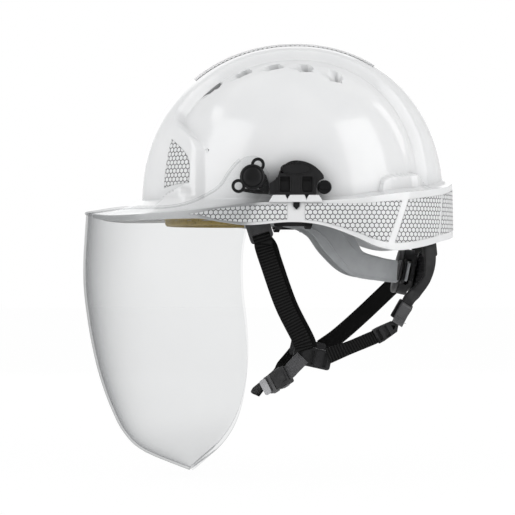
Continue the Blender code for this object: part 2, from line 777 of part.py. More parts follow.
def make_cradle():
    for name, azimuth, reach, drop in CRADLE:
        turn = math.radians(azimuth)
        flat = Vector((math.sin(turn), -math.cos(turn), 0))
        path, outs = [], []
        for i in range(13):
            angle = math.radians(4 + 172 * i / 12)
            rise = CRADLE_TOP + drop - CRADLE_FOOT
            path.append(flat * reach * math.cos(angle) + Vector((0, 0, CRADLE_FOOT + rise * math.sin(angle))))
            outs.append(flat * math.cos(angle) + Vector((0, 0, math.sin(angle))))
        add_object(name, strap_mesh(path, outs, 20, STRAP_THICKNESS), "cradle_grey")
        for end, sign in (("front", 1), ("rear", -1)):
            out = flat * sign
            axes = Axes(out * (reach + 1.6) + Vector((0, 0, CRADLE_FOOT)), (0, 0, 1), out)
            outline = [(-4, -11), (6, -11), (10, -7), (10, 7), (6, 11), (-4, 11)]
            depth = HANGER_DEPTH if azimuth else 2 * HANGER_DEPTH
            plate(f"hanger_{name.split('_')[-1]}_{end}", axes, outline, (0, depth), "harness_grey")


# ---------------------------------------------------------------- chin strap

FRONT_ANCHOR = (91.5, -32, -14)
FRONT_ROUTE = [(91.5, -28.4, -28.4), (91.5, -24, -42), (90, -12, -76), (87.2, 2, -104), (86.2, 5, -113)]
DIVIDER_CENTRE = (80, 12, -120)
REAR_ANCHOR = (56, 111, -27)
REAR_ARM_ROUTE = [(58.5, 111.5, -40), (59.5, 109, -54), (61.5, 101, -65), (64.6, 94.5, -71)]
CAM_CENTRE = (66, 88, -82)
LOWER_CENTRE = (69, 73, -99)
REAR_LEFT_ROUTE = [(71.8, 62.5, -104.3), (80.5, 44, -111.5), (83.8, 25, -118.5)]
REAR_RIGHT_ROUTE = [(-59.2, 110, -43), (-63.5, 93, -58), (-72, 62, -88), (-80.5, 40, -108), (-83.8, 25, -119)]
SHORT_ROUTE = [(84, 4, -120), (83.9, -0.5, -124.5), (83.4, -4.5, -128.7), (82.2, -6.8, -131.4)]
BUCKLE_CENTRE = (77, -15.5, -138.5)
LONG_ROUTE = [(69.2, -28.2, -147.2), (58, -30.5, -147), (30, -32.5, -148.5), (0, -33, -149), (-34, -30, -147)]
LONG_ROUTE += [(-62, -20, -143), (-79.5, -9.5, -136), (-83.6, -2, -128), (-83.8, 3.5, -121.5)]


def frame_plate(outer_u, outer_v, bar, gap, depth):
    """An outline with slots across it, as on a strap divider or slider."""
    half = [(outer_u - 2, -outer_v), (outer_u, -outer_v + 2), (outer_u, outer_v - 2), (outer_u - 2, outer_v)]
    outline = half + [(-u, -v) for u, v in half]
    holes = []
    place = -outer_u + bar
    while place + gap <= outer_u - bar + 0.01:
        holes.append(rectangle(place, -outer_v + 2.2, place + gap, outer_v - 2.2))
        place += gap + bar
    return outline, depth, holes


def make_front_strap(label, sign):
    anchor = Vector(mirrored([FRONT_ANCHOR], sign)[0])
    axes = Axes(anchor, (0, 0.3, -0.95), (sign, 0, 0))
    outline, depth, holes = frame_plate(9, 10, 3, 3.4, (-1.5, 1.5))
    plate(f"front_anchor_{label}", axes, outline, depth, "buckle_grey", holes[-1:])
    doubled = [Vector((x + 1.5, y, z)) for x, y, z in FRONT_ROUTE]
    back = [Vector((x - 1.5, y + 4, z)) for x, y, z in reversed(FRONT_ROUTE)]
    path = smooth_path(mirrored(doubled[::-1], sign), 3)
    fold = smooth_path(mirrored(back[::-1], sign), 3)
    rows = path + fold
    outs = [(sign, 0, 0)] * len(path) + [(-sign, 0, 0)] * len(fold)
    add_object(f"front_strap_{label}", strap_mesh(rows, outs, STRAP_WIDTH, STRAP_THICKNESS), "webbing_black")


def make_divider(label, sign):
    centre = mirrored([DIVIDER_CENTRE], sign)[0]
    axes = Axes(centre, (0, 1, 0.12), (sign, 0, 0))
    outline, depth, _ = frame_plate(16, 8, 3, 3, (-1.8, 1.8))
    holes = [rectangle(-12.5, -6, -9.7, 6), rectangle(-1.6, -6, 1.2, 6), rectangle(9.7, -6, 12.5, 6)]
    plate(f"divider_{label}", axes, outline, depth, "buckle_grey", holes)


def make_rear_anchor(label, sign):
    anchor = mirrored([REAR_ANCHOR], sign)[0]
    axes = Axes(anchor, (0, 0.1, -1), (sign, 0.35, 0))
    outline, depth, holes = frame_plate(10, 9, 3, 3.4, (-1.3, 1.3))
    plate(f"rear_anchor_{label}", axes, outline, depth, "fitting_black", holes[-1:])


def make_rear_left():
    outs = [(1, 0.3, 0.1)] * len(REAR_ARM_ROUTE)
    strap("rear_arm_left", REAR_ARM_ROUTE, outs, "fitting_black", STRAP_WIDTH, 2.6)
    axes = Axes(CAM_CENTRE, (0.1, -0.5, -0.86), (1, 0.3, 0))
    outline = rectangle(-8.4, -9, 8.4, 9)
    walls = [
        (outline, (-3, -1)),
        (rectangle(-8.2, -8.8, 8.2, -6.8), (-1.5, 4)),
        (rectangle(-8.2, 6.8, 8.2, 8.8), (-1.5, 4)),
    ]
    joined("cam_body_left", axes, walls, "fitting_black")
    cam_axes = Axes(CAM_CENTRE, axes.across, axes.out)
    pin = cam_axes.at(0, 0, 0) - axes.along * 4 + axes.out * 2.6
    lever_axes = Axes(pin, axes.along, axes.across)
    lever_axes.across = axes.out
    lever_axes.out = axes.across
    lever = arc((0, 0), 2.6, 90, 270, 8) + [(6, -2.2), (14, 0.2), (16.4, 2.6), (14, 2.4), (6, 1.4)]
    plate("cam_lever_left", lever_axes, lever, (-6.2, 6.2), "buckle_grey", origin=tuple(pin))
    axes = Axes(LOWER_CENTRE, (0.14, -0.86, -0.48), (1, 0.2, 0))
    outline = [(-9, -8), (4, -9), (9, -9), (9, 9), (4, 9), (-9, 8), (-13, 0)]
    holes = [rectangle(4.4, -6.2, 7, 6.2), rectangle(-3, -6.2, 1, 6.2), [(-7, -3.6), (-7, 3.6), (-10.4, 0)]]
    plate("lower_adjuster_left", axes, outline, (-2, 2), "buckle_grey", holes)
    strap("rear_strap_left", REAR_LEFT_ROUTE, [(1, 0.1, 0.1)] * 3, "webbing_black")


def make_buckle():
    axes = Axes(BUCKLE_CENTRE, (-0.38, -0.76, -0.52), (0.88, -0.46, 0.05))
    shell = rectangle(-10, -7.5, 4, 7.5)
    socket = [
        (shell, (-4, -2.4)),
        (shell, (2.4, 4)),
        (rectangle(-9.8, -7.3, -6.5, 7.3), (-3, 3)),
        (rectangle(1.5, -7.3, 3.8, -5.6), (-3, 3)),
        (rectangle(1.5, 5.6, 3.8, 7.3), (-3, 3)),
    ]
    joined("buckle_socket", axes, socket, "buckle_grey")
    prongs = [
        (rectangle(4.8, -7.5, 11.5, 7.5), (-3.4, 3.4)),
        (rectangle(-5.4, -1.6, 5.4, 1.6), (-1.6, 1.6)),
    ]
    joined("buckle_plug", axes, prongs, "buckle_grey")
    for label, low, high in (("lower", 4.6, 8.6), ("upper", -8.6, -4.6)):
        outline = rectangle(-5.8, low, 0.8, high)
        centre = axes.at(-2.5, (low + high) / 2, 0)
        plate(f"buckle_button_{label}", axes, outline, (-1.9, 1.9), "button_grey", origin=tuple(centre))
    outs = [(1, -0.1, 0.1), (1, -0.2, 0.1), (1, -0.3, 0.1), (0.9, -0.4, 0.1)]
    strap("chin_strap_short", SHORT_ROUTE, outs, "webbing_black", 14)
    outs = [(0.8, -0.5, 0.5), (0.3, -0.7, 0.65), (0.1, -0.6, 0.8), (0, -0.6, 0.8), (-0.2, -0.6, 0.75)]
    outs += [(-0.5, -0.5, 0.4), (-0.75, -0.4, -0.1), (-1, -0.2, 0), (-1, 0, 0)]
    strap("chin_strap_long", LONG_ROUTE, outs, "webbing_black")


# ---------------------------------------------------------------- assembly


def main():
    clear_scene()
    make_shell()
    make_stickers()
    for label, sign in SIDES:
        make_side_adapter(label, sign)
        make_slot_clip(label, sign)
        make_switch(label, sign)
        make_pivot(label, sign)
        make_front_strap(label, sign)
        make_divider(label, sign)
        make_rear_anchor(label, sign)
    make_visor()
    make_headband()
    make_ratchet()
    make_cradle()
    make_rear_left()
    strap("rear_strap_right", REAR_RIGHT_ROUTE, [(-1, 0.25, 0.1)] * len(REAR_RIGHT_ROUTE), "webbing_black")
    make_buckle()


main()
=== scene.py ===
"""Visual model of an industrial hard hat with a clear visor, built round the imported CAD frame.

Sizes are in millimetres and become metres when a mesh is made. The wearer faces -Y, +X is the
wearer's left and +Z is up, as in the frame.
"""

import math

import bmesh
import bpy
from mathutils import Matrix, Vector


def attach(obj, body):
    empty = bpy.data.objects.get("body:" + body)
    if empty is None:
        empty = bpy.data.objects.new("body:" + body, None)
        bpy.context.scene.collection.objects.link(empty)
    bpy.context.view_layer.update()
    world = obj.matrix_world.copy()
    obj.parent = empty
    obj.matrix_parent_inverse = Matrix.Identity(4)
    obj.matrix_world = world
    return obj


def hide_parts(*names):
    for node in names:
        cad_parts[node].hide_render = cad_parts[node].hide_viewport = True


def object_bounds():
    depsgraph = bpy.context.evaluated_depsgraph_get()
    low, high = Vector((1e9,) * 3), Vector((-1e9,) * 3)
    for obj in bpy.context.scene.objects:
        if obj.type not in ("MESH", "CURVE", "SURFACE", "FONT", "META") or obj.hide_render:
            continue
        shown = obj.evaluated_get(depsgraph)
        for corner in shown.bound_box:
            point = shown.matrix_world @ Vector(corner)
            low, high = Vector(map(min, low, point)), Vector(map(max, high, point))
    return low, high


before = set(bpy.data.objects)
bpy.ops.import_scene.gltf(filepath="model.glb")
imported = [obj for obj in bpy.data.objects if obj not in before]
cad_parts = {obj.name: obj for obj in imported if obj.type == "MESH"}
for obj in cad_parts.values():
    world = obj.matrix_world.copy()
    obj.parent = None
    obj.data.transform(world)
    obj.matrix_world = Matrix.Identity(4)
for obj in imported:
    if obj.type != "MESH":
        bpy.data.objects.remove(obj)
cad_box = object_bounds()

MM = 0.001
LEFT = 1
RIGHT = -1
SIDES = (("left", LEFT), ("right", RIGHT))
HELMET = "helmet"


def add_node(tree, kind, *sources, **settings):
    """A node whose inputs, in order, are other nodes' outputs or plain values."""
    node = tree.nodes.new("ShaderNode" + kind)
    for key, value in settings.items():
        setattr(node, key, value)
    for i, source in enumerate(sources):
        if isinstance(source, bpy.types.NodeSocket):
            tree.links.new(source, node.inputs[i])
        elif source is not None:
            node.inputs[i].default_value = source
    return node


# ---------------------------------------------------------------- camera, light and floor

CAMERA_PLACE = (1.8, -0.0335, -0.037)
CAMERA_TURN = (math.radians(90), 0, math.radians(90))
CAMERA_LENS = 144.6
WHITE = (1, 1, 1, 1)
FLOOR_DROP = 0.004
FLOOR_HALF = 6
# The floor's glow and colour as the camera sees it, and its colour for other pieces.
FLOOR_GLOW = 0.965
FLOOR_SHADE = 0.04
FLOOR_GREY = 0.85
# Strength of the surroundings all round and on the wearer's left, and where one fades to the other.
SURROUND = 0.72
SURROUND_SIDE = 0.16
SIDE_FADE = (0.35, 1)
# Each light's place, its width and height in metres, and its power in watts.
LIGHTS = {
    "front_box": ((1.0, -1.3, 0.5), (1.0, 2.0), 13),
    "rear_box": ((1.0, 1.3, 0.5), (1.0, 2.0), 14.5),
    "top_box": ((0.1, 0, 1.5), (1.3, 1.0), 0.3),
    "far_box": ((-1.4, -0.2, 0.5), (1.2, 1.2), 3),
}


def make_camera():
    data = bpy.data.cameras.new("camera")
    data.lens = CAMERA_LENS
    camera = bpy.data.objects.new("camera", data)
    camera.location = CAMERA_PLACE
    camera.rotation_euler = CAMERA_TURN
    bpy.context.scene.collection.objects.link(camera)
    bpy.context.scene.camera = camera


def make_light(name, place, size, power):
    """A soft box that looks at the frame's origin."""
    data = bpy.data.lights.new(name, "AREA")
    data.shape = "RECTANGLE"
    data.size, data.size_y = size
    data.energy = power
    light = bpy.data.objects.new(name, data)
    light.location = place
    light.rotation_euler = (-Vector(place)).to_track_quat("-Z", "Y").to_euler()
    bpy.context.scene.collection.objects.link(light)


def make_studio():
    """White surroundings for the camera, softer grey ones for light, and the soft boxes."""
    scene = bpy.context.scene
    scene.view_settings.view_transform = "Standard"
    world = bpy.data.worlds.new("studio")
    scene.world = world
    world.use_nodes = True
    tree = world.node_tree
    tree.nodes.clear()
    by_camera = add_node(tree, "LightPath").outputs["Is Camera Ray"]
    direction = add_node(tree, "TexCoord").outputs["Generated"]
    leftwards = add_node(tree, "SeparateXYZ", direction).outputs[0]
    levels = (*SIDE_FADE, SURROUND, SURROUND_SIDE)
    strength = add_node(tree, "MapRange", leftwards, *levels, interpolation_type="SMOOTHSTEP")
    around = add_node(tree, "Background", WHITE, strength.outputs[0])
    seen = add_node(tree, "Background", WHITE)
    mix = add_node(tree, "MixShader", by_camera, around.outputs[0], seen.outputs[0])
    add_node(tree, "OutputWorld", mix.outputs[0])
    for name, (place, size, power) in LIGHTS.items():
        make_light(name, place, size, power)


def make_floor():
    """A plain floor: as white as the background when looked at, matt and pale for other pieces."""
    low = cad_box[0].z - FLOOR_DROP
    bm = bmesh.new()
    bmesh.ops.create_grid(bm, x_segments=1, y_segments=1, size=FLOOR_HALF)
    mesh = bpy.data.meshes.new("floor")
    bm.to_mesh(mesh)
    bm.free()
    floor = bpy.data.objects.new("floor", mesh)
    floor.location = (0, 0, low)
    bpy.context.scene.collection.objects.link(floor)
    material = bpy.data.materials.new("floor_white")
    material.use_nodes = True
    tree = material.node_tree
    shader = tree.nodes["Principled BSDF"]
    shader.inputs["Roughness"].default_value = 1
    shader.inputs["Specular IOR Level"].default_value = 0
    shader.inputs["Emission Color"].default_value = WHITE
    by_camera = add_node(tree, "LightPath").outputs["Is Camera Ray"]
    looks = (("Base Color", FLOOR_GREY, FLOOR_SHADE), ("Emission Strength", 0, FLOOR_GLOW))
    for name, plain, seen in looks:
        choice = add_node(tree, "MapRange", by_camera, 0, 1, plain, seen)
        tree.links.new(choice.outputs[0], shader.inputs[name])
    mesh.materials.append(material)


# ---------------------------------------------------------------- materials

# Strength of the mirrored light on black plastic and on woven tape.
DULL = 0.25
WOVEN_SHINE = 0.08


class Paint:
    """A procedural material, to which nodes are added one after another."""

    def __init__(self, name, colour, roughness, **settings):
        self.material = bpy.data.materials.new(name)
        self.material.use_nodes = True
        self.tree = self.material.node_tree
        self.shader = self.tree.nodes["Principled BSDF"]
        self.colour = (*colour, 1)
        self.shader.inputs["Base Color"].default_value = self.colour
        self.shader.inputs["Roughness"].default_value = roughness
        for key, value in settings.items():
            self.shader.inputs[key.replace("_", " ")].default_value = value
        coordinates = add_node(self.tree, "TexCoord")
        self.place = coordinates.outputs["Object"]
        self.flat = coordinates.outputs["UV"]

    def add(self, kind, *sources, **settings):
        """Adds a node and gives its first output."""
        return add_node(self.tree, kind, *sources, **settings).outputs[0]

    def link(self, source, name):
        self.tree.links.new(source, self.shader.inputs[name])

    def maths(self, operation, *sources):
        return self.add("Math", *sources, operation=operation)

    def vector(self, operation, *sources):
        output = self.add("VectorMath", *sources, operation=operation)
        if operation in ("LENGTH", "DOT_PRODUCT"):
            return output.node.outputs["Value"]
        return output

    def parts(self, source):
        """The three numbers of a vector."""
        return add_node(self.tree, "SeparateXYZ", source).outputs

    def noise(self, size_mm, detail=3.0, source=None):
        """Noise from 0 to 1 whose features have about this size."""
        node = self.tree.nodes.new("ShaderNodeTexNoise")
        self.tree.links.new(source or self.place, node.inputs["Vector"])
        node.inputs["Scale"].default_value = 1 / (size_mm * MM)
        node.inputs["Detail"].default_value = detail
        return node.outputs["Fac"]

    def ramp(self, source, low, high, start=0.35, end=0.65):
        """Scales a value between start and end to a number from low to high."""
        return self.add("MapRange", source, start, end, low, high)

    def blend(self, factor, one, other):
        """A colour between two colours, each a triple or another node's output."""
        node = self.tree.nodes.new("ShaderNodeMix")
        node.data_type = "RGBA"
        self.tree.links.new(factor, node.inputs["Factor"])
        for socket, value in zip((node.inputs[6], node.inputs[7]), (one, other)):
            if isinstance(value, bpy.types.NodeSocket):
                self.tree.links.new(value, socket)
            else:
                socket.default_value = (*value, 1)
        return node.outputs[2]

    def bump(self, height, depth_mm, strength=1.0):
        node = self.tree.nodes.new("ShaderNodeBump")
        node.inputs["Strength"].default_value = strength
        node.inputs["Distance"].default_value = depth_mm * MM
        self.tree.links.new(height, node.inputs["Height"])
        previous = self.shader.inputs["Normal"]
        if previous.is_linked:
            self.tree.links.new(previous.links[0].from_socket, node.inputs["Normal"])
        self.link(node.outputs["Normal"], "Normal")

    def vary(self, size_mm, low, high):
        """Roughness that drifts between two values."""
        self.link(self.ramp(self.noise(size_mm), low, high), "Roughness")

    def mottle(self, size_mm, other):
        """Base colour that drifts towards another one."""
        factor = self.ramp(self.noise(size_mm), 0, 1)
        self.link(self.blend(factor, self.colour[:3], other), "Base Color")


# Painted shade: corners narrower than this are painted darker on the white shell, towards the shade
# grey below.
PAINTED_SHADE_REACH = 14
PAINTED_SHADE_GREY = (0.38, 0.385, 0.39)


def shell_paint():
    """Glossy moulded plastic with the faintest orange peel, with painted shade darkening its hollows.
    """
    paint = Paint("shell_white", (0.8, 0.805, 0.81), 0.16, Coat_Weight=0.35, Coat_Roughness=0.05)
    paint.mottle(45, (0.77, 0.777, 0.785))
    # Painted shade: an ambient occlusion probe blends the colour towards the painted shade grey in
    # creases, vents and hollows.
    shade_probe = paint.tree.nodes.new("ShaderNodeAmbientOcclusion")
    shade_probe.inputs["Distance"].default_value = PAINTED_SHADE_REACH * MM
    shade_probe.samples = 8
    unshaded_share = paint.maths("POWER", shade_probe.outputs["AO"], 1.1)
    plain = paint.shader.inputs["Base Color"].links[0].from_socket
    paint.link(paint.blend(unshaded_share, PAINTED_SHADE_GREY, plain), "Base Color")
    paint.vary(18, 0.13, 0.21)
    paint.bump(paint.noise(6, 2), 0.02, 0.5)
    paint.bump(paint.noise(0.7, 2), 0.004, 0.5)
    return paint.material


def plastic_paint(name, colour, rough, grain_mm=0.5, depth_mm=0.03, lighter=1.35, shine=0.5):
    """Satin moulded plastic with a fine spark-eroded grain."""
    paint = Paint(name, colour, rough, Specular_IOR_Level=shine)
    paint.mottle(9, tuple(lighter * part for part in colour))
    paint.vary(5, rough - 0.06, rough + 0.09)
    paint.bump(paint.noise(grain_mm, 4), depth_mm, 0.6)
    return paint.material


HEX_PITCH = 4.1
# The printed line's half width and the blur of its edge, as shares of the pitch.
HEX_LINE = 0.085
HEX_BLUR = 0.03
RING_RADIUS = 0.2
RIB_PITCH = 2.5


def film_paint():
    """Reflective film printed with pointed hexagons, each with a faint ring in its middle."""
    paint = Paint("reflective_film", (0.78, 0.785, 0.79), 0.34)
    tall = math.sqrt(3)
    scaled = paint.vector("MULTIPLY", paint.flat, (1 / (HEX_PITCH * MM),) * 3)
    cells = []
    for shift in ((0, 0, 0), (0.5, tall / 2, 0)):
        moved = paint.vector("ADD", scaled, shift)
        cells.append(paint.vector("WRAP", moved, (0.5, tall / 2, 1), (-0.5, -tall / 2, -1)))
    radii = [paint.vector("LENGTH", paint.vector("MULTIPLY", cell, (1, 1, 0))) for cell in cells]
    nearer = paint.maths("LESS_THAN", radii[1], radii[0])
    mix = paint.tree.nodes.new("ShaderNodeMix")
    mix.data_type = "VECTOR"
    paint.tree.links.new(nearer, mix.inputs["Factor"])
    paint.tree.links.new(cells[0], mix.inputs[4])
    paint.tree.links.new(cells[1], mix.inputs[5])
    cell = paint.vector("MULTIPLY", paint.vector("ABSOLUTE", mix.outputs[1]), (1, 1, 0))
    slanted = paint.vector("DOT_PRODUCT", cell, (0.5, tall / 2, 0))
    reach = paint.maths("MAXIMUM", paint.parts(cell)[0], slanted)
    line = paint.ramp(reach, 0, 1, 0.5 - HEX_LINE - HEX_BLUR, 0.5 - HEX_LINE + HEX_BLUR)
    off_ring = paint.maths("SUBTRACT", paint.vector("LENGTH", cell), RING_RADIUS)
    ring = paint.ramp(paint.maths("ABSOLUTE", off_ring), 1, 0, 0.02, 0.08)
    beads = paint.ramp(paint.noise(0.35, 2, paint.flat), 0.9, 1.08)
    faint = paint.maths("MULTIPLY", ring, 0.3)
    light = paint.blend(faint, (0.79, 0.795, 0.8), (0.55, 0.555, 0.565))
    shaded = paint.vector("SCALE", light, None, None, beads)
    coloured = paint.blend(line, (0, 0, 0), (0.035, 0.036, 0.042))
    paint.tree.links.new(shaded, coloured.node.inputs[6])
    paint.link(coloured, "Base Color")
    paint.link(paint.ramp(line, 0.3, 0.5, 0, 1), "Roughness")
    paint.bump(line, 0.03, 0.6)
    return paint.material


# What one surface of the sheet lets through, straight on and at a slant.
SHEET_TINT = (0.957, 0.959, 0.96)
SHEET_EDGE = (0.62, 0.625, 0.63)


def clear_paint():
    """Clear sheet: seen through straight on, glossy at a slant, with faint soft smears."""
    paint = Paint("clear_sheet", (0.9, 0.9, 0.9), 0.04)
    tree = paint.tree
    through = tree.nodes.new("ShaderNodeBsdfTransparent")
    slant = add_node(tree, "LayerWeight", 0.5).outputs["Facing"]
    edge = paint.maths("POWER", slant, 1.8)
    tree.links.new(paint.blend(edge, SHEET_TINT, SHEET_EDGE), through.inputs["Color"])
    gloss = tree.nodes.new("ShaderNodeBsdfGlossy")
    gloss.inputs["Roughness"].default_value = 0.3
    gloss.inputs["Color"].default_value = (0.8, 0.8, 0.8, 1)
    smear = paint.ramp(paint.noise(60, 2), 0.008, 0.02)
    grazing = paint.maths("MULTIPLY", paint.maths("POWER", slant, 6.0), 0.6)
    behind = add_node(tree, "NewGeometry").outputs["Backfacing"]
    front = paint.maths("SUBTRACT", 1.0, behind)
    amount = paint.maths("MULTIPLY", paint.maths("ADD", grazing, smear), front)
    mixed = paint.add("MixShader", amount, through.outputs[0], gloss.outputs[0])
    tree.links.new(mixed, tree.nodes["Material Output"].inputs["Surface"])
    return paint.material


def webbing_paint(name, colour, rib_mm, yarn_mm, sheen):
    """Woven tape: ribs across its length and yarns along it, with painted shade in the gaps and a
    painted highlight on the ribs.
    """
    settings = {"Sheen_Weight": sheen, "Sheen_Roughness": 0.5, "Specular_IOR_Level": WOVEN_SHINE}
    paint = Paint(name, colour, 0.7, **settings)
    across, along, _ = paint.parts(paint.flat)
    rib_turn = paint.maths("MULTIPLY", along, 2 * math.pi / (rib_mm * MM))
    yarn_turn = paint.maths("MULTIPLY", across, 2 * math.pi / (yarn_mm * MM))
    rib = paint.maths("SINE", rib_turn)
    yarn = paint.maths("COSINE", yarn_turn)
    weave = paint.maths("ADD", rib, paint.maths("MULTIPLY", yarn, 0.25))
    # Painted light: the colour runs from painted shade in the gaps to a painted highlight on the ribs'
    # tops.
    light = paint.ramp(weave, 0, 1, -1.3, 1.3)
    fuzz = paint.noise(0.25, 3)
    painted_shade_colour = tuple(0.15 * part for part in colour)
    pale = tuple(2.4 * part + 0.003 for part in colour)
    paint.link(paint.blend(light, painted_shade_colour, pale), "Base Color")
    paint.bump(weave, 0.16, 0.9)
    paint.bump(fuzz, 0.05, 0.4)
    return paint.material


def foam_paint(name, colour, pore_mm, depth_mm, other):
    """Soft padding: a grained face with small pores, painted darker inside as painted shade."""
    paint = Paint(name, colour, 0.92, Sheen_Weight=0.3, Sheen_Roughness=0.6)
    voronoi = paint.tree.nodes.new("ShaderNodeTexVoronoi")
    paint.tree.links.new(paint.place, voronoi.inputs["Vector"])
    voronoi.inputs["Scale"].default_value = 1 / (pore_mm * MM)
    pores = paint.ramp(voronoi.outputs["Distance"], 0, 1, 0.1, 0.45)
    drift = paint.blend(paint.ramp(paint.noise(14), 0, 1), colour, other)
    # Painted shade: the pores are darkened to under half the colour, as shade inside them.
    painted_shade_colour = tuple(0.45 * part for part in colour)
    coloured = paint.blend(pores, painted_shade_colour, (0, 0, 0))
    paint.tree.links.new(drift, coloured.node.inputs[7])
    paint.link(coloured, "Base Color")
    paint.bump(pores, depth_mm, 0.8)
    paint.bump(paint.noise(0.3, 4), 0.06, 0.5)
    return paint.material


# Colour, roughness and what else plastic_paint is told.
PLASTICS = {
    "fitting_black": ((0.011, 0.011, 0.0115), 0.46, {"shine": DULL}),
    "knob_black": ((0.0045, 0.0045, 0.005), 0.42, {"shine": DULL}),
    "washer_white": ((0.6, 0.6, 0.58), 0.5, {}),
    "harness_grey": ((0.29, 0.3, 0.31), 0.5, {"grain_mm": 0.7, "depth_mm": 0.04, "lighter": 1.1}),
    "buckle_grey": ((0.016, 0.016, 0.017), 0.45, {"shine": DULL}),
    "lever_grey": ((0.045, 0.045, 0.047), 0.42, {}),
    "button_grey": ((0.09, 0.09, 0.094), 0.42, {}),
    "flap_grey": ((0.3, 0.3, 0.31), 0.5, {}),
}
# Colour, pore size and depth, and the colour that it drifts towards.
FOAMS = {
    "sweatband_tan": ((0.3, 0.215, 0.05), 1.9, 0.25, (0.35, 0.26, 0.08)),
    "pad_black": ((0.03, 0.03, 0.032), 1.2, 0.15, (0.045, 0.045, 0.047)),
}
# Colour, rib and yarn pitch, and sheen.
WEBBINGS = {
    "webbing_black": ((0.0055, 0.0055, 0.0055), RIB_PITCH, 1.5, 0),
    "webbing_plain": ((0.0035, 0.0035, 0.0035), 0.9, 0.9, 0),
    "strap_grey": ((0.07, 0.07, 0.073), 0.9, 0.9, 0.1),
    "cradle_grey": ((0.1, 0.1, 0.105), 1.4, 1.1, 0.4),
}


def make_materials():
    made = {"shell_white": shell_paint(), "reflective_grey": film_paint(), "clear_sheet": clear_paint()}
    for name, (colour, rough, settings) in PLASTICS.items():
        made[name] = plastic_paint(name, colour, rough, **settings)
    for name, row in FOAMS.items():
        made[name] = foam_paint(name, *row)
    for name, row in WEBBINGS.items():
        made[name] = webbing_paint(name, *row)
    return made


# ---------------------------------------------------------------- shapes


def spline(rows):
    """A smooth function through rows of (position, value), level at both ends."""
    places = [row[0] for row in rows]
    values = [row[1] for row in rows]
    slopes = [0.0]
    for i in range(1, len(rows) - 1):
        slopes.append((values[i + 1] - values[i - 1]) / (places[i + 1] - places[i - 1]))
    slopes.append(0.0)

    def value(place):
        place = min(max(place, places[0]), places[-1])
        i = 0
        while i < len(places) - 2 and place > places[i + 1]:
            i += 1
        span = places[i + 1] - places[i]
        f = (place - places[i]) / span
        rise = f * f * (3 - 2 * f)
        leave = f * (1 - f) ** 2 * slopes[i] * span
        arrive = f * f * (f - 1) * slopes[i + 1] * span
        return values[i] * (1 - rise) + values[i + 1] * rise + leave + arrive

    return value


def smooth_step(value, low=0.0, high=1.0):
    f = min(max((value - low) / (high - low), 0.0), 1.0)
    return f * f * (3 - 2 * f)


def smooth_path(points, steps):
    """Points on a smooth curve through the given ones, with some steps in each span."""
    points = [Vector(p) for p in points]
    padded = [2 * points[0] - points[1], *points, 2 * points[-1] - points[-2]]
    found = []
    for i in range(len(points) - 1):
        a, b, c, d = padded[i : i + 4]
        for k in range(steps):
            f = k / steps
            pull = 2 * b + (c - a) * f + (2 * a - 5 * b + 4 * c - d) * f**2
            found.append(0.5 * (pull + (3 * b - a - 3 * c + d) * f**3))
    found.append(points[-1])
    return found


class Axes:
    """A place with three directions at right angles: along, across and out."""

    def __init__(self, origin, along, out, across=None):
        self.origin = Vector(origin)
        self.along = Vector(along).normalized()
        self.out = Vector(out).normalized()
        if across is None:
            self.across = self.out.cross(self.along).normalized()
            self.out = self.along.cross(self.across).normalized()
        else:
            self.across = Vector(across).normalized()

    def at(self, u, v, w):
        return self.origin + self.along * u + self.across * v + self.out * w


def side_axes(sign):
    """Axes for flat pieces on one side: u is Y, v is Z and w is the distance from the middle."""
    return Axes((0, 0, 0), (0, 1, 0), (sign, 0, 0), (0, 0, 1))


def arc(centre, radius, start, end, steps):
    """Points along an arc, with angles in degrees from the first axis."""
    found = []
    for i in range(steps + 1):
        angle = math.radians(start + (end - start) * i / steps)
        found.append((centre[0] + radius * math.cos(angle), centre[1] + radius * math.sin(angle)))
    return found


def circle(centre, radius, steps=48):
    return arc(centre, radius, 0, 360, steps)[:-1]


def oval(centre, half_width, half_height, steps=64):
    ring = circle((0, 0), 1, steps)
    return [(centre[0] + half_width * u, centre[1] + half_height * v) for u, v in ring]


CORNER_STEPS = 6


def rectangle(u0, v0, u1, v1, radius=0.0):
    """A rectangle's outline between two corners, with rounded corners if a radius is given."""
    if not radius:
        return [(u0, v0), (u1, v0), (u1, v1), (u0, v1)]
    low_u, low_v, high_u, high_v = u0 + radius, v0 + radius, u1 - radius, v1 - radius
    found = []
    for i, corner in enumerate(((high_u, low_v), (high_u, high_v), (low_u, high_v), (low_u, low_v))):
        found += arc(corner, radius, 90 * i - 90, 90 * i, CORNER_STEPS)
    return found


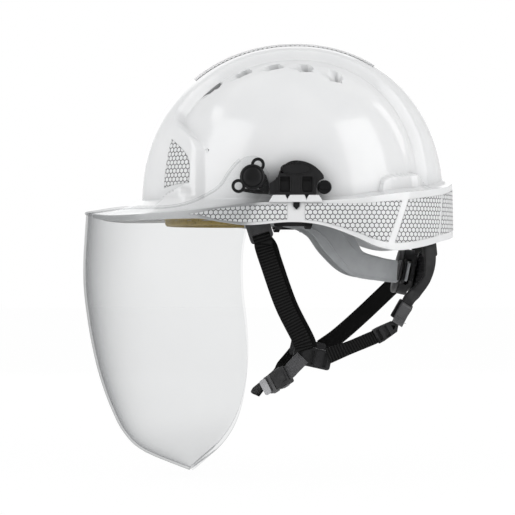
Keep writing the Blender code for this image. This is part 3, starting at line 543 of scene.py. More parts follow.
class Surface:
    """Grids and flat plates collected as one mesh, each vertex with a flat place in millimetres."""

    def __init__(self):
        self.verts, self.faces, self.flats = [], [], []

    def grid(self, rows, flats=None, closed=False, flip=False):
        """Rows of points joined by faces; closed joins each row's last point to its first."""
        start, wide = len(self.verts), len(rows[0])
        for i, row in enumerate(rows):
            self.verts.extend(row)
            self.flats.extend(flats[i] if flats else [(0, 0)] * wide)
        for i in range(len(rows) - 1):
            for k in range(wide if closed else wide - 1):
                after = (k + 1) % wide
                a, b = start + i * wide, start + (i + 1) * wide
                face = (a + k, a + after, b + after, b + k)
                self.faces.append(face[::-1] if flip else face)

    def tube(self, rows, flats=None):
        """Rings of points joined into a tube and closed at both ends."""
        start, wide = len(self.verts), len(rows[0])
        last = start + (len(rows) - 1) * wide
        self.grid(rows, flats, closed=True)
        self.faces.append(tuple(range(start + wide - 1, start - 1, -1)))
        self.faces.append(tuple(range(last, last + wide)))

    def plate(self, axes, outline, depth, holes=()):
        """A flat outline with holes, thickened between two depths along the axes' third direction."""
        bm = bmesh.new()
        edges = []
        for loop in (outline, *holes):
            ring = [bm.verts.new(axes.at(u, v, depth[0])) for u, v in loop]
            for i, vert in enumerate(ring):
                edges.append(bm.edges.new((vert, ring[(i + 1) % len(ring)])))
        bmesh.ops.triangle_fill(bm, edges=edges, use_beauty=True)
        grown = bmesh.ops.extrude_face_region(bm, geom=bm.faces[:])
        raised = [item for item in grown["geom"] if isinstance(item, bmesh.types.BMVert)]
        bmesh.ops.translate(bm, vec=axes.out * (depth[1] - depth[0]), verts=raised)
        bmesh.ops.recalc_face_normals(bm, faces=bm.faces)
        self.take(bm)

    def turned(self, axes, profile, steps=72, notch=None):
        """A solid turned round the axes from (radius, depth) points; notch varies the radius."""
        rows = []
        for radius, depth in profile:
            row = []
            for k in range(steps):
                turn = 2 * math.pi * k / steps
                reach = radius * (notch(turn, radius, depth) if notch else 1)
                row.append(axes.at(reach * math.cos(turn), reach * math.sin(turn), depth))
            rows.append(row)
        self.tube(rows)

    def take(self, bm):
        """Adds a bmesh's faces and frees it."""
        start = len(self.verts)
        bm.verts.index_update()
        self.verts.extend(v.co.copy() for v in bm.verts)
        self.flats.extend((0, 0) for _ in bm.verts)
        self.faces.extend(tuple(start + v.index for v in f.verts) for f in bm.faces)
        bm.free()

    def piece(self, name, finish, body, nodes=(), slot=None, sharp=40, weld=0.0, outward=None):
        """The finished object, riding on its body and standing for its CAD nodes."""
        mesh = bpy.data.meshes.new(name)
        mesh.from_pydata([v * MM for v in self.verts], [], self.faces)
        layer = mesh.uv_layers.new(name="flat")
        for loop in mesh.loops:
            u, v = self.flats[loop.vertex_index]
            layer.data[loop.index].uv = (u * MM, v * MM)
        bm = bmesh.new()
        bm.from_mesh(mesh)
        if weld:
            bmesh.ops.remove_doubles(bm, verts=bm.verts, dist=weld * MM)
        bmesh.ops.recalc_face_normals(bm, faces=bm.faces)
        if outward is not None:
            centre = Vector(outward) * MM
            total = sum(f.normal.dot(f.calc_center_median() - centre) * f.calc_area() for f in bm.faces)
            if total < 0:
                bmesh.ops.reverse_faces(bm, faces=bm.faces)
        bm.to_mesh(mesh)
        bm.free()
        mesh.materials.append(materials[finish])
        mesh.shade_smooth()
        mesh.set_sharp_from_angle(angle=math.radians(sharp))
        obj = bpy.data.objects.new(name, mesh)
        bpy.context.scene.collection.objects.link(obj)
        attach(obj, body)
        if nodes:
            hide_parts(*nodes)
        return obj


def bevel(obj, width, segments=3, angle=30):
    """Rounds an object's edges; the width is in millimetres."""
    rounding = obj.modifiers.new("rounding", "BEVEL")
    rounding.width = width * MM
    rounding.segments = segments
    rounding.limit_method = "ANGLE"
    rounding.angle_limit = math.radians(angle)
    rounding.harden_normals = False
    obj.data.shade_smooth()
    return obj


def fitting(surface, name, finish, rounding, segments=3, body=HELMET, slot=None):
    """A hard piece with rounded edges that stands for the CAD node of its own name."""
    return bevel(surface.piece(name, finish, body, [name], slot), rounding, segments)


def plates(axes, *layers):
    """Flat plates in one mesh; each layer is an outline, its two depths and perhaps its holes."""
    surface = Surface()
    for layer in layers:
        surface.plate(axes, *layer)
    return surface


def thicken(obj, thickness):
    """Gives an open surface its thickness, inwards from its outer face."""
    solid = obj.modifiers.new("thickness", "SOLIDIFY")
    solid.thickness = thickness * MM
    solid.offset = -1
    solid.use_even_offset = False
    return obj


# ---------------------------------------------------------------- shell

DOME_BASE_Z = 12
SQUARENESS = 2.1
HALF_WIDTH = 103
CREST = {"front": 135, "rear": 127.5, "height": 136}
SIDE = {"front": 125.5, "rear": 120, "height": 129.5}
WALL = 2.6
BAND_FLARE = 1
EDGE_ROUNDING = 0.7
SEARCH_STEPS = 30
# Rows in front of the crest's narrowing, across it and behind it, and where it lies.
BROW_ROWS = 32
NARROW_ROWS = 64
CREST_ROWS = 200
NARROWING = (0.16, 0.26)
# Shares of (the way along the crest, the way round the ledge) that side lines join.
FANNING = ((0, 0), (0.165, 0.12), (0.19, 0.38), (0.26, 0.44), (1, 1))
CREST_ACROSS = 34
RISER_ACROSS = 7
SIDE_STEPS = 46
LEDGE_STEPS = 7
BAND_STEPS = 8

# Rows below are (angle round the rim from the front in degrees, value).
rim_radius = spline(
    [(0, 176.5), (11.6, 174), (21, 166), (34, 148), (42, 137), (50, 128.5), (60, 120.1), (69.6, 114.7)]
    + [(90, 110), (107.8, 114.5), (125.8, 123.2), (141.2, 130.9), (158.2, 134.6), (180, 135)]
)
rim_top = spline(
    [(0, 1.5), (21.9, -1.5), (50, 2.7), (69, 7.5), (112, 11), (126, 15), (155, 21.6), (180, 28)]
)
rim_bottom = spline(
    [(0, -2), (21.9, -5.5), (50, -4.6), (59, -8), (68.6, -10.4), (85.8, -8), (95.7, -9)]
    + [(104.3, -13), (114.6, -21), (122.3, -28), (130.5, -31), (141.8, -28), (155.3, -23), (180, -19)]
)
dome_foot = spline(
    [(0, 12), (50, 12), (69, 12.3), (90, 12.8), (112, 14), (126, 18), (155, 24.5), (180, 30.5)]
)
# Half the crest's width, by angle from the front over the top; the brow panel is its wide front.
crest_half = spline(
    [(0, 81.5), (15, 80), (22, 77.4), (26, 75.5), (28, 73), (30, 68), (31, 60), (32, 50.5), (34, 44.5)]
    + [(38, 41), (60, 39), (110, 39), (145, 46), (172, 52)]
)
# The width of the riser that steps down from the crest to the side.
riser_width = spline(
    [(0, 2.4), (5, 2.5), (22, 3.3), (28, 5.2), (30, 7.4), (31, 12.5), (31.8, 17.5), (33, 12.5)]
    + [(34.2, 6.5), (38, 5.4), (172, 5.5)]
)


def power(value):
    return abs(value) ** SQUARENESS


def dome_point(theta, x, dome):
    """The point of a dome at a lateral place x, in the half plane at theta degrees from the front."""
    angle = math.radians(theta)
    length = dome["front"] if theta < 90 else dome["rear"]
    share = power(math.cos(angle) / length) + power(math.sin(angle) / dome["height"])
    reach = ((1 - power(x / HALF_WIDTH)) / share) ** (1 / SQUARENESS)
    return Vector((x, -reach * math.cos(angle), DOME_BASE_Z + reach * math.sin(angle)))


def dome_hit(direction, dome):
    """Where a ray from the dome's centre meets it."""
    length = dome["front"] if direction.y < 0 else dome["rear"]
    share = power(direction.x / HALF_WIDTH) + power(direction.y / length)
    share += power(direction.z / dome["height"])
    return Vector((0, 0, DOME_BASE_Z)) + direction * share ** (-1 / SQUARENESS)


def rim_angle(point):
    return math.degrees(math.atan2(abs(point.x), -point.y))


def crest_surface(theta, across):
    """A point of the crest, or for across from 1 to 2 of the rounded riser that steps down from it."""
    half = crest_half(theta)
    if across <= 1:
        return dome_point(theta, across * half, CREST)
    x = half + (across - 1) * riser_width(theta)
    fall = smooth_step(across - 1)
    return dome_point(theta, x, CREST).lerp(dome_point(theta, x, SIDE), fall)


def crest_end(across):
    """The angle where this line of the crest runs into the ledge at the rear."""
    low, high = 90.0, 180.0
    for _ in range(SEARCH_STEPS):
        middle = (low + high) / 2
        point = crest_surface(middle, across)
        if point.z > dome_foot(rim_angle(point)):
            low = middle
        else:
            high = middle
    return low


def side_foot(angle):
    """Where the side dome meets the ledge, at an angle round the rim."""
    turn = math.radians(angle)
    height = dome_foot(angle) - DOME_BASE_Z
    low, high = 0.0, 0.6
    for _ in range(SEARCH_STEPS):
        lift = (low + high) / 2
        flat = math.cos(lift)
        point = dome_hit(Vector((math.sin(turn) * flat, -math.cos(turn) * flat, math.sin(lift))), SIDE)
        if point.z - DOME_BASE_Z < height:
            low = lift
        else:
            high = lift
    return point


def side_line(top, foot, downs):
    """Points of the side dome from the riser's foot to the ledge."""
    centre = Vector((0, 0, DOME_BASE_Z))
    start, end = (top - centre).normalized(), (foot - centre).normalized()
    turn = start.angle(end, 0)
    if turn < 1e-4:
        return [top.copy() for _ in downs]
    points = []
    for down in downs:
        a = math.sin((1 - down) * turn) / math.sin(turn)
        b = math.sin(down * turn) / math.sin(turn)
        points.append(dome_hit((start * a + end * b).normalized(), SIDE))
    return points


def rim_point(angle, side, height, proud=0.0):
    """A point of the band's outer face; height runs from 0 at its lower edge to 1 at its top."""
    turn = math.radians(angle)
    reach = rim_radius(angle) + BAND_FLARE * (1 - height) + proud
    low, high = rim_bottom(angle), rim_top(angle)
    return Vector((side * reach * math.sin(turn), -reach * math.cos(turn), low + (high - low) * height))


# Scoop vents on the shoulder: (Y, Z) of each vent's closed tip, front to rear, and their shape.
VENT_TIPS = [(-66, 109.5), (-41, 119.6), (-15, 122.8), (10, 120.7), (34.4, 113)]
VENT_LENGTH = 20
VENT_HALF = 5
VENT_DEPTH = 7.5
VENT_DOME_LENGTH = 124
# The dome swells below the riser: how far down it is fullest, how far on it ends, how proud it
# is, and the angles up from the brow between which it begins.
SHOULDER_DROP = 18
SHOULDER_FALL = 18
SHOULDER_PROUD = 2.4
SHOULDER_START = (32, 52)
# Raised blocks round the dome's foot: rows of (rim angle, height above the foot) and how proud.
rear_block = spline([(127, 0), (129, 9.5), (140, 11), (149, 9), (154, 0)])
brow_block = spline([(26, 0), (27.5, 1), (34, 7.5), (40.5, 11.5), (41.8, 0)])
BLOCK_PROUD = 4.5


def on_side(y, z):
    """The point of the left side dome at this Y and Z."""
    length = SIDE["front"] if y < 0 else SIDE["rear"]
    rest = 1 - power(y / length) - power((z - DOME_BASE_Z) / SIDE["height"])
    return Vector((HALF_WIDTH * max(rest, 0.01) ** (1 / SQUARENESS), y, z))


def vent_frames():
    frames = []
    for y, z in VENT_TIPS:
        tip = on_side(y, z)
        lean = -math.radians(1.5 + 0.6 * y)
        along = Vector((0, math.cos(lean), math.sin(lean)))
        out = Vector((power(tip.x / HALF_WIDTH) / tip.x, 0, 0))
        out.y = power(y / VENT_DOME_LENGTH) / y
        out.z = power((z - DOME_BASE_Z) / SIDE["height"]) / (z - DOME_BASE_Z)
        out.normalize()
        along = (along - out * along.dot(out)).normalized()
        frames.append((tip, along, out.cross(along).normalized()))
    return frames


def vent_depth(point, frames):
    """How deep the scoops are cut at a point of the left side."""
    depth = 0.0
    for tip, along, across in frames:
        offset = point - tip
        if offset.length > VENT_LENGTH + 8:
            continue
        t = 1 + offset.dot(along) / VENT_LENGTH
        h = offset.dot(across)
        if t < 0 or t > 1.12:
            continue
        half = VENT_HALF * (0.45 + 0.55 * smooth_step(t))
        beyond = max(0.0, (t - 0.88) * VENT_LENGTH)
        reach = math.hypot(h, beyond)
        wall = smooth_step((half - reach) / 1.4)
        depth = max(depth, VENT_DEPTH * min(t, 1.0) ** 1.4 * wall)
    return depth


def block_lift(point):
    """How far the raised blocks stand out at a point near the dome's foot."""
    angle = rim_angle(point)
    above = point.z - dome_foot(angle)
    lift = 0.0
    for height in (rear_block(angle), brow_block(angle)):
        if height > 0.3:
            edge = smooth_step(height, 0.3, 4)
            foot = 1 - smooth_step(above, height - 1.6, height + 0.6)
            lift = max(lift, BLOCK_PROUD * edge * foot)
    return lift


def shaped(point, shoulder=None, frames=()):
    """A point of the plain dome, moved for the blocks, the shoulder's crease and the vents."""
    lift = block_lift(point)
    flat = Vector((point.x, point.y, 0))
    moved = point + flat.normalized() * lift if lift else point.copy()
    if shoulder is not None:
        out = (point - Vector((0, 0, DOME_BASE_Z))).normalized()
        rise = min(shoulder / SHOULDER_DROP, 1)
        rise *= 1 - smooth_step(shoulder, SHOULDER_DROP, SHOULDER_DROP + SHOULDER_FALL)
        turn = math.degrees(math.atan2(point.z - DOME_BASE_Z, -point.y))
        rise *= smooth_step(turn, *SHOULDER_START)
        moved += out * (SHOULDER_PROUD * rise - vent_depth(point, frames))
    return moved


def spread(steps, pinch):
    """Shares from 0 to 1 that lie closer together near both ends."""
    shares = [i / steps for i in range(steps + 1)]
    return [f - pinch * math.sin(2 * math.pi * f) for f in shares]


def row_shares():
    """Shares from brow to rear, closest together where the crest narrows above the brow panel."""
    start, end = NARROWING
    shares = []
    for low, high, steps in ((0, start, BROW_ROWS), (start, end, NARROW_ROWS), (end, 1, CREST_ROWS)):
        shares += [low + (high - low) * i / steps for i in range(steps)]
    return shares + [1.0]


def crest_grid():
    """Left half of the crest and its riser: rows from brow to rear, points from the middle out."""
    acrosses = [k / CREST_ACROSS for k in range(CREST_ACROSS + 1)]
    acrosses += [1 + (k + 1) / RISER_ACROSS for k in range(RISER_ACROSS)]
    ends = [crest_end(across) for across in acrosses]
    rows = []
    for along in row_shares():
        plain = [crest_surface(along * end, across) for across, end in zip(acrosses, ends)]
        rows.append([shaped(point) for point in plain])
    return rows


def foot_share(along):
    """How far round the ledge a side line ends; the lines fan out below the crest's narrowing."""
    for (low, start), (high, end) in zip(FANNING, FANNING[1:]):
        if along <= high:
            return start + (end - start) * (along - low) / (high - low)


def side_grid():
    """The left side dome: one line of points for each row of the crest."""
    plain_end = crest_end(2)
    first = rim_angle(crest_surface(0, 2))
    last = rim_angle(crest_surface(plain_end, 2))
    frames = vent_frames()
    downs = spread(SIDE_STEPS, 0.12)
    lines = []
    for along in row_shares():
        top = crest_surface(along * plain_end, 2)
        line = side_line(top, side_foot(first + (last - first) * foot_share(along)), downs)
        length = sum((b - a).length for a, b in zip(line, line[1:]))
        fade = smooth_step(length, 30, 70)
        points = []
        for down, point in zip(downs, line):
            shoulder = down * length
            moved = shaped(point, shoulder, frames)
            points.append(point.lerp(moved, fade) if block_lift(point) == 0 else moved)
        lines.append(points)
    return lines


def ledge_rows(loop):
    """From the dome's foot out over the peak or ledge to the band and down to its lower edge."""
    rows = []
    for k in range(LEDGE_STEPS):
        share = k / LEDGE_STEPS
        row = []
        for p, angle, side in loop:
            edge = rim_point(angle, side, 1)
            point = p.lerp(edge, share)
            sag = min(3.0, 0.35 * (p.z - edge.z)) * math.sin(math.pi * share)
            row.append(point - Vector((0, 0, sag)))
        rows.append(row)
    for k in range(BAND_STEPS + 1):
        rows.append([rim_point(angle, side, 1 - k / BAND_STEPS) for _, angle, side in loop])
    return rows


def flipped(point):
    return Vector((-point.x, point.y, point.z))


def make_shell():
    crest = crest_grid()
    sides = side_grid()
    surface = Surface()
    surface.grid([[flipped(p) for p in reversed(row[1:])] + row for row in crest])
    surface.grid(sides)
    surface.grid([[flipped(p) for p in line] for line in sides], flip=True)
    half = [(p, rim_angle(p), LEFT) for p in crest[0]]
    half += [(line[-1], rim_angle(line[-1]), LEFT) for line in sides]
    half += [(p, rim_angle(p), LEFT) for p in reversed(crest[-1])]
    loop = half + [(flipped(p), angle, RIGHT) for p, angle, _ in reversed(half[1:-1])]
    surface.grid(ledge_rows(loop), closed=True)
    inside = (0, 0, 20)
    settings = {"sharp": 50, "weld": 0.02, "outward": inside}
    shell = surface.piece("shell", "shell_white", HELMET, ["shell"], **settings)
    thicken(shell, WALL)
    bevel(shell, EDGE_ROUNDING, 3, 50)


# ---------------------------------------------------------------- reflective film

FILM_PROUD = 0.12
FILM_THICKNESS = 0.2
CROWN = {"start": 50, "end": 120, "half": 0.68, "rows": 120, "across": 40}
# The brow film between two angles; its edges are shares of the brow panel's half width, and its
# outer edge narrows towards the top by the cut.
BROW = {"low": 4.9, "high": 25.5, "inner": 0.738, "outer": 0.965, "cut": 0.222, "cut_power": 8}
BROW.update(sweep=3.7, rows=40, across=14)
# How much of a step in Y and X counts along the brow film's print.
BROW_PRINT = (0.75, 0.66)
BAND_ROWS = 16
BAND_COLUMNS_PER_DEGREE = 1.6
BAND_TOP = 0.87
BAND_FOOT = 0.13


def film(name, patches, node):
    """Thin printed sheets on the shell; each patch is rows of (point, flat place)."""
    surface = Surface()
    for rows in patches:
        points = [[p for p, _ in row] for row in rows]
        flats = [[f for _, f in row] for row in rows]
        surface.grid(points, flats)
    obj = surface.piece(name, "reflective_grey", HELMET, [node], sharp=60)
    bm = bmesh.new()
    bm.from_mesh(obj.data)
    centre = Vector((0, 0, DOME_BASE_Z)) * MM
    turned = [f for f in bm.faces if f.normal.dot(f.calc_center_median() - centre) < 0]
    bmesh.ops.reverse_faces(bm, faces=turned)
    bm.normal_update()
    for vert in bm.verts:
        vert.co += vert.normal * (FILM_PROUD + FILM_THICKNESS) * MM
    bm.to_mesh(obj.data)
    bm.free()
    thicken(obj, FILM_THICKNESS)
    return obj


def crown_patch():
    rows = []
    length = 0.0
    previous = None
    for i in range(CROWN["rows"] + 1):
        theta = CROWN["start"] + (CROWN["end"] - CROWN["start"]) * i / CROWN["rows"]
        middle = crest_surface(theta, 0)
        length += (middle - previous).length if previous else 0
        previous = middle
        row = []
        for k in range(CROWN["across"] + 1):
            across = CROWN["half"] * (2 * k / CROWN["across"] - 1)
            point = crest_surface(theta, abs(across))
            if across < 0:
                point = flipped(point)
            row.append((point, (length, across * crest_half(theta))))
        rows.append(row)
    return rows


def brow_patch(sign):
    rows = []
    for i in range(BROW["rows"] + 1):
        f = i / BROW["rows"]
        theta = BROW["low"] + (BROW["high"] - BROW["low"]) * f
        inner = BROW["inner"]
        outer = BROW["outer"] - BROW["cut"] * f ** BROW["cut_power"]
        row = []
        for k in range(BROW["across"] + 1):
            share = k / BROW["across"]
            start = theta + BROW["sweep"] * share * (1 - f)
            point = crest_surface(start, inner + (outer - inner) * share)
            if sign < 0:
                point = flipped(point)
            along = point.y * BROW_PRINT[0] + sign * point.x * BROW_PRINT[1]
            row.append((point, (along, point.z)))
        rows.append(row)
    return rows


def band_patch(sign, ends, taper=0.0):
    """Film on the band between two slanted ends, each (rim angle at the top, at the lower edge)."""
    (start_top, start_foot), (end_top, end_foot) = ends
    columns = round(abs(end_top - start_top) * BAND_COLUMNS_PER_DEGREE)
    middle = (BAND_TOP + BAND_FOOT) / 2
    rows = []
    for k in range(BAND_ROWS + 1):
        share = k / BAND_ROWS
        row = []
        for i in range(columns + 1):
            f = i / columns
            start = start_top + (start_foot - start_top) * share
            end = end_top + (end_foot - end_top) * share
            angle = start + (end - start) * f
            narrow = smooth_step(abs(angle - start_top), 0, taper) if taper else 1
            height = middle + (BAND_TOP - middle - share * (BAND_TOP - BAND_FOOT)) * narrow
            point = rim_point(angle, sign, height)
            row.append((point, (sign * rim_length(angle), point.z)))
        rows.append(row)
    return rows


def rim_lengths():
    """Length along the rim from the front to each whole degree."""
    lengths = [0.0]
    for degree in range(1, 201):
        a, b = (rim_point(min(d, 180), LEFT, 0.5) for d in (degree - 1, degree))
        lengths.append(lengths[-1] + math.hypot(b.x - a.x, b.y - a.y))
    return lengths


RIM_LENGTHS = rim_lengths()


def rim_length(angle):
    low = min(int(angle), 199)
    return RIM_LENGTHS[low] + (RIM_LENGTHS[low + 1] - RIM_LENGTHS[low]) * (angle - low)


def make_films():
    film("crown_film", [crown_patch()], "crown_sticker")
    for label, sign in SIDES:
        film(f"brow_film_{label}", [brow_patch(sign)], f"brow_sticker_{label}")
        front = band_patch(sign, ((45.8, 45.8), (85.2, 85.2)), taper=12)
        middle = band_patch(sign, ((92.8, 92.8), (132.6, 126.4)))
        film(f"side_film_{label}", [front, middle], f"side_sticker_{label}")
    rear = []
    for ends in (((135.4, 129.2), (154.5, 151.5)), ((156.2, 153.2), (180, 180))):
        rear += [band_patch(sign, ends) for sign in (LEFT, RIGHT)]
    film("rear_film", rear, "rear_sticker")


# ---------------------------------------------------------------- side fittings

PIVOT = (-37.6, 28.6)
PIVOT_HOLE = 5.2
SWITCH = (21.4, 20.6)
BADGE = (-1.9, 35.6)
# The adapter's two windows, from their front to their rear edge, and its upright ribs.
WINDOWS = ((-15.3, -7), (3, 11.4))
ADAPTER_RIBS = (-18.4, 12.6, -5.4, -0.2)
ADAPTER_DEPTH = (103.8, 112.6)
SEAT_DEPTH = (101, 112.2)


def make_adapter(label, sign):
    """The clip-on adapter: a domed plate with two windows, a blank oval badge and side ribs."""
    axes = side_axes(sign)
    body = [(-24, 14.6), (14.6, 14.6), (14.6, 22), *arc(SWITCH, 6.7, 155, 96, 12)]
    body += arc((-1.9, 15.8), 26.5, 31.9, 90, 28) + arc((-1.9, 27.5), 14.8, 93, 163, 28)
    body += [(-16.3, 31), (-17.6, 28), (-20.2, 25.9), (-23.5, 23.6)]
    windows = [rectangle(low, 16.6, high, 29, 0.6) for low, high in WINDOWS]
    fitting(plates(axes, (body, ADAPTER_DEPTH, windows)), f"side_adapter_{label}", "fitting_black", 0.7)
    detail = Surface()
    for low, high in WINDOWS:
        detail.plate(axes, rectangle(low + 0.1, 16.7, high - 0.1, 28.9), (104, 107.4))
        detail.plate(axes, rectangle(low + 0.3, 16.9, high - 0.3, 25.4), (107.2, 108.8))
    for low in ADAPTER_RIBS:
        detail.plate(axes, rectangle(low, 16, low + 1.6, 28.4), (111.8, 113.2))
    detail.plate(axes, oval(BADGE, 12.9, 5.2), (112, 113.3), [oval(BADGE, 12.1, 4.5)])
    detail.plate(axes, oval(BADGE, 11.4, 3.9), (112, 112.9))
    bevel(detail.piece(f"adapter_detail_{label}", "fitting_black", HELMET, sharp=30), 0.3, 2)


def make_seat(label, sign):
    """The white seat moulded on the rim under the adapter, with two V notches, and the key slot."""
    axes = side_axes(sign)
    notches = [(8.2, 14.2), (6.4, 10.8), (5.2, 14.2), (-7.4, 14.2), (-9.2, 10.8), (-10.4, 14.2)]
    outline = [(-24.5, 8.4), (19.8, 8.4), (18.6, 11.2), (16.6, 14.2), *notches]
    outline += [(-21, 14.2), (-22.8, 11)]
    surface = plates(axes, (outline, SEAT_DEPTH))
    bevel(surface.piece(f"adapter_seat_{label}", "shell_white", HELMET, slot="shell_white"), 0.5)
    marks = Surface()
    marks.plate(axes, [(-4.2, 8), (-4.2, 4.7), (-1.65, 2.2), (0.9, 4.7), (0.9, 8)], (109, 111.4))
    for middle in (-9.1, 6.6):
        marks.plate(axes, [(middle - 1.7, 14.4), (middle + 1.9, 14.4), (middle, 11.2)], (108, 112.3))
    marks.piece(f"key_slot_{label}", "knob_black", HELMET, slot="fitting_black", sharp=30)


def make_clip(label, sign):
    """The adapter's tongue under the rim, with two hooks that grip the rim's edge."""
    axes = side_axes(sign)
    surface = Surface()
    surface.plate(axes, rectangle(-20, -11.4, 11.5, -1, 1), (102.4, 105.4))
    for low, high in ((-18.4, -13.6), (5.3, 10.1)):
        hook = [(low - 1, -11.6), (high + 1, -11.2), (high, -13.8), (low, -13.8)]
        surface.plate(axes, hook, (102.4, 109))
    fitting(surface, f"slot_clip_{label}", "fitting_black", 0.5)


def make_switch(label, sign):
    """The round release switch with a raised grip bar."""
    axes = Axes((sign * 104.4, *SWITCH), (0, 1, 0), (sign, 0, 0), (0, 0, 1))
    surface = Surface()
    profile = [(5.2, 0), (5.7, 0.4), (5.7, 6.2), (5.4, 6.8), (4.9, 7.1), (4.5, 7.0)]
    profile += [(4.3, 6.7), (0.4, 6.7)]
    surface.turned(axes, profile)
    surface.plate(axes, rectangle(-4.3, -1.1, 4.3, 1.1, 0.9), (6.4, 9))
    name = f"release_switch_{label}"
    fitting(surface, name, "knob_black", 0.3, 2, f"switch_{label}", "fitting_black")


def make_pivot(label, sign):
    """Visor carrier, washer and the lock knob with its two finger loops and plain domed face."""
    axes = side_axes(sign)
    carrier = arc(PIVOT, 9, 40, 300, 48) + [(-29, 15.2), (-24.4, 15.2), (-24.4, 23.8), (-26, 30)]
    lower = [(-49, 17.6), (-36, 15.4), (-24.4, 14.8), (-24.4, 17), (-36, 19.4), (-46, 19.4)]
    arm = plates(axes, (carrier, (103.8, 108.4), [circle(PIVOT, 4.9)]), (lower, (104, 107.6)))
    fitting(arm, f"visor_carrier_{label}", "fitting_black", 0.5)
    washer = plates(axes, (circle(PIVOT, 8), (108.8, 109.4), [circle(PIVOT, PIVOT_HOLE)]))
    name = f"friction_washer_{label}"
    washer.piece(name, "washer_white", HELMET, [name], sharp=30)
    knob = Surface()
    hub = Axes((0, *PIVOT), (0, 1, 0), (sign, 0, 0), (0, 0, 1))
    profile = [(9.9, 114), (10.3, 114.3), (10.3, 118.1), (9.9, 118.8), (9.2, 119.1), (8.6, 118.9)]
    profile += [(8.2, 118.6), (7.8, 118.9), (7.3, 119.7), (6.4, 120.2), (3, 120.4), (0.5, 120.4)]
    knob.turned(hub, profile)
    knob.turned(hub, [(4.2, 104.1), (4.4, 104.4), (4.4, 115)])
    body = f"knob_{label}"
    knob.piece(f"pivot_knob_{label}", "knob_black", body, [f"pivot_knob_{label}"], slot="fitting_black")
    loops = Surface()
    for angle, reach in ((66, 11), (213, 13.6)):
        centre = arc(PIVOT, reach, angle, angle, 1)[0]
        loops.plate(axes, circle(centre, 5.7, 40), (114.2, 118), [circle(centre, 3.2, 40)])
        web = arc(PIVOT, 8, angle - 26, angle + 26, 6)
        web += arc(PIVOT, reach - 4.2, angle + 18, angle - 18, 6)
        loops.plate(axes, web, (114.4, 117.6))
    bevel(loops.piece(f"knob_loops_{label}", "knob_black", body, slot="fitting_black"), 0.4, 2)


# ---------------------------------------------------------------- visor

# Rows run down the sheet from its top edge (0) to its chin tip (1).
visor_front_y = spline(
    [(0, -182), (0.12, -183.5), (0.22, -184.5), (0.32, -184), (0.45, -181), (0.56, -176.5)]
    + [(0.68, -170), (0.78, -161), (0.88, -149), (0.95, -131), (1, -93)]
)
visor_front_z = spline(
    [(0, 1), (0.12, -22), (0.22, -43), (0.32, -64), (0.45, -90), (0.56, -116)]
    + [(0.68, -142), (0.78, -167), (0.88, -190), (0.95, -206), (1, -221.5)]
)
visor_edge_x = spline(
    [(0, 113), (0.22, 113), (0.32, 112), (0.45, 107), (0.56, 98.5), (0.68, 86)]
    + [(0.78, 71), (0.88, 52), (0.95, 31), (1, 9)]
)
visor_edge_y = spline(
    [(0, -24), (0.05, -25.5), (0.12, -35), (0.22, -43.5), (0.32, -47), (0.45, -46.5), (0.56, -43.5)]
    + [(0.68, -42), (0.78, -44), (0.88, -52), (0.95, -67.5), (1, -91)]
)
visor_edge_z = spline(
    [(0, 32), (0.05, 22), (0.12, 6.5), (0.22, -14), (0.32, -37), (0.45, -67), (0.56, -93)]
    + [(0.68, -121), (0.78, -147), (0.88, -177), (0.95, -200.5), (1, -219.5)]
)
# The top edge's height along its length, with the round ear over the pivot.
visor_top_z = spline(
    [(-182, 1), (-144, 4.3), (-107, 4.8), (-90, 8), (-76, 14), (-64, 22), (-56, 34), (-48, 42.5)]
    + [(-38, 46), (-30, 43), (-24, 32)]
)
VISOR_ROUNDING = 0.85
EAR_FADE = 0.2
VISOR_THICKNESS = 2
VISOR_COLUMNS = 64
VISOR_ROWS = 80
# The bead along the top edge is this thick and stops this many columns short of each end.
RIM_BEAD = 2.6
BEAD_STOP = 18
# The rear edge turns outwards: from this turn on, by this much.
LIP_START = 86.5
LIP_PROUD = 1.8


def visor_point(turn, down, side):
    """A point of the visor's outer face; turn runs from 0 at the front to 90 at the rear edge."""
    angle = math.radians(turn)
    back = 1 - math.cos(angle)
    front, edge = visor_front_y(down), visor_edge_y(down)
    y = front + (edge - front) * back
    x = visor_edge_x(down) * math.sin(angle) ** VISOR_ROUNDING
    z = visor_front_z(down) + (visor_edge_z(down) - visor_front_z(down)) * back
    top_front, top_edge = visor_front_y(0), visor_edge_y(0)
    top_plain = visor_front_z(0) + (visor_edge_z(0) - visor_front_z(0)) * back
    ear = visor_top_z(top_front + (top_edge - top_front) * back) - top_plain
    lip = LIP_PROUD * smooth_step(turn, LIP_START, 90) * smooth_step(down, 0.2, 0.35)
    return Vector((side * (x + lip), y, z + ear * max(0.0, 1 - down / EAR_FADE)))


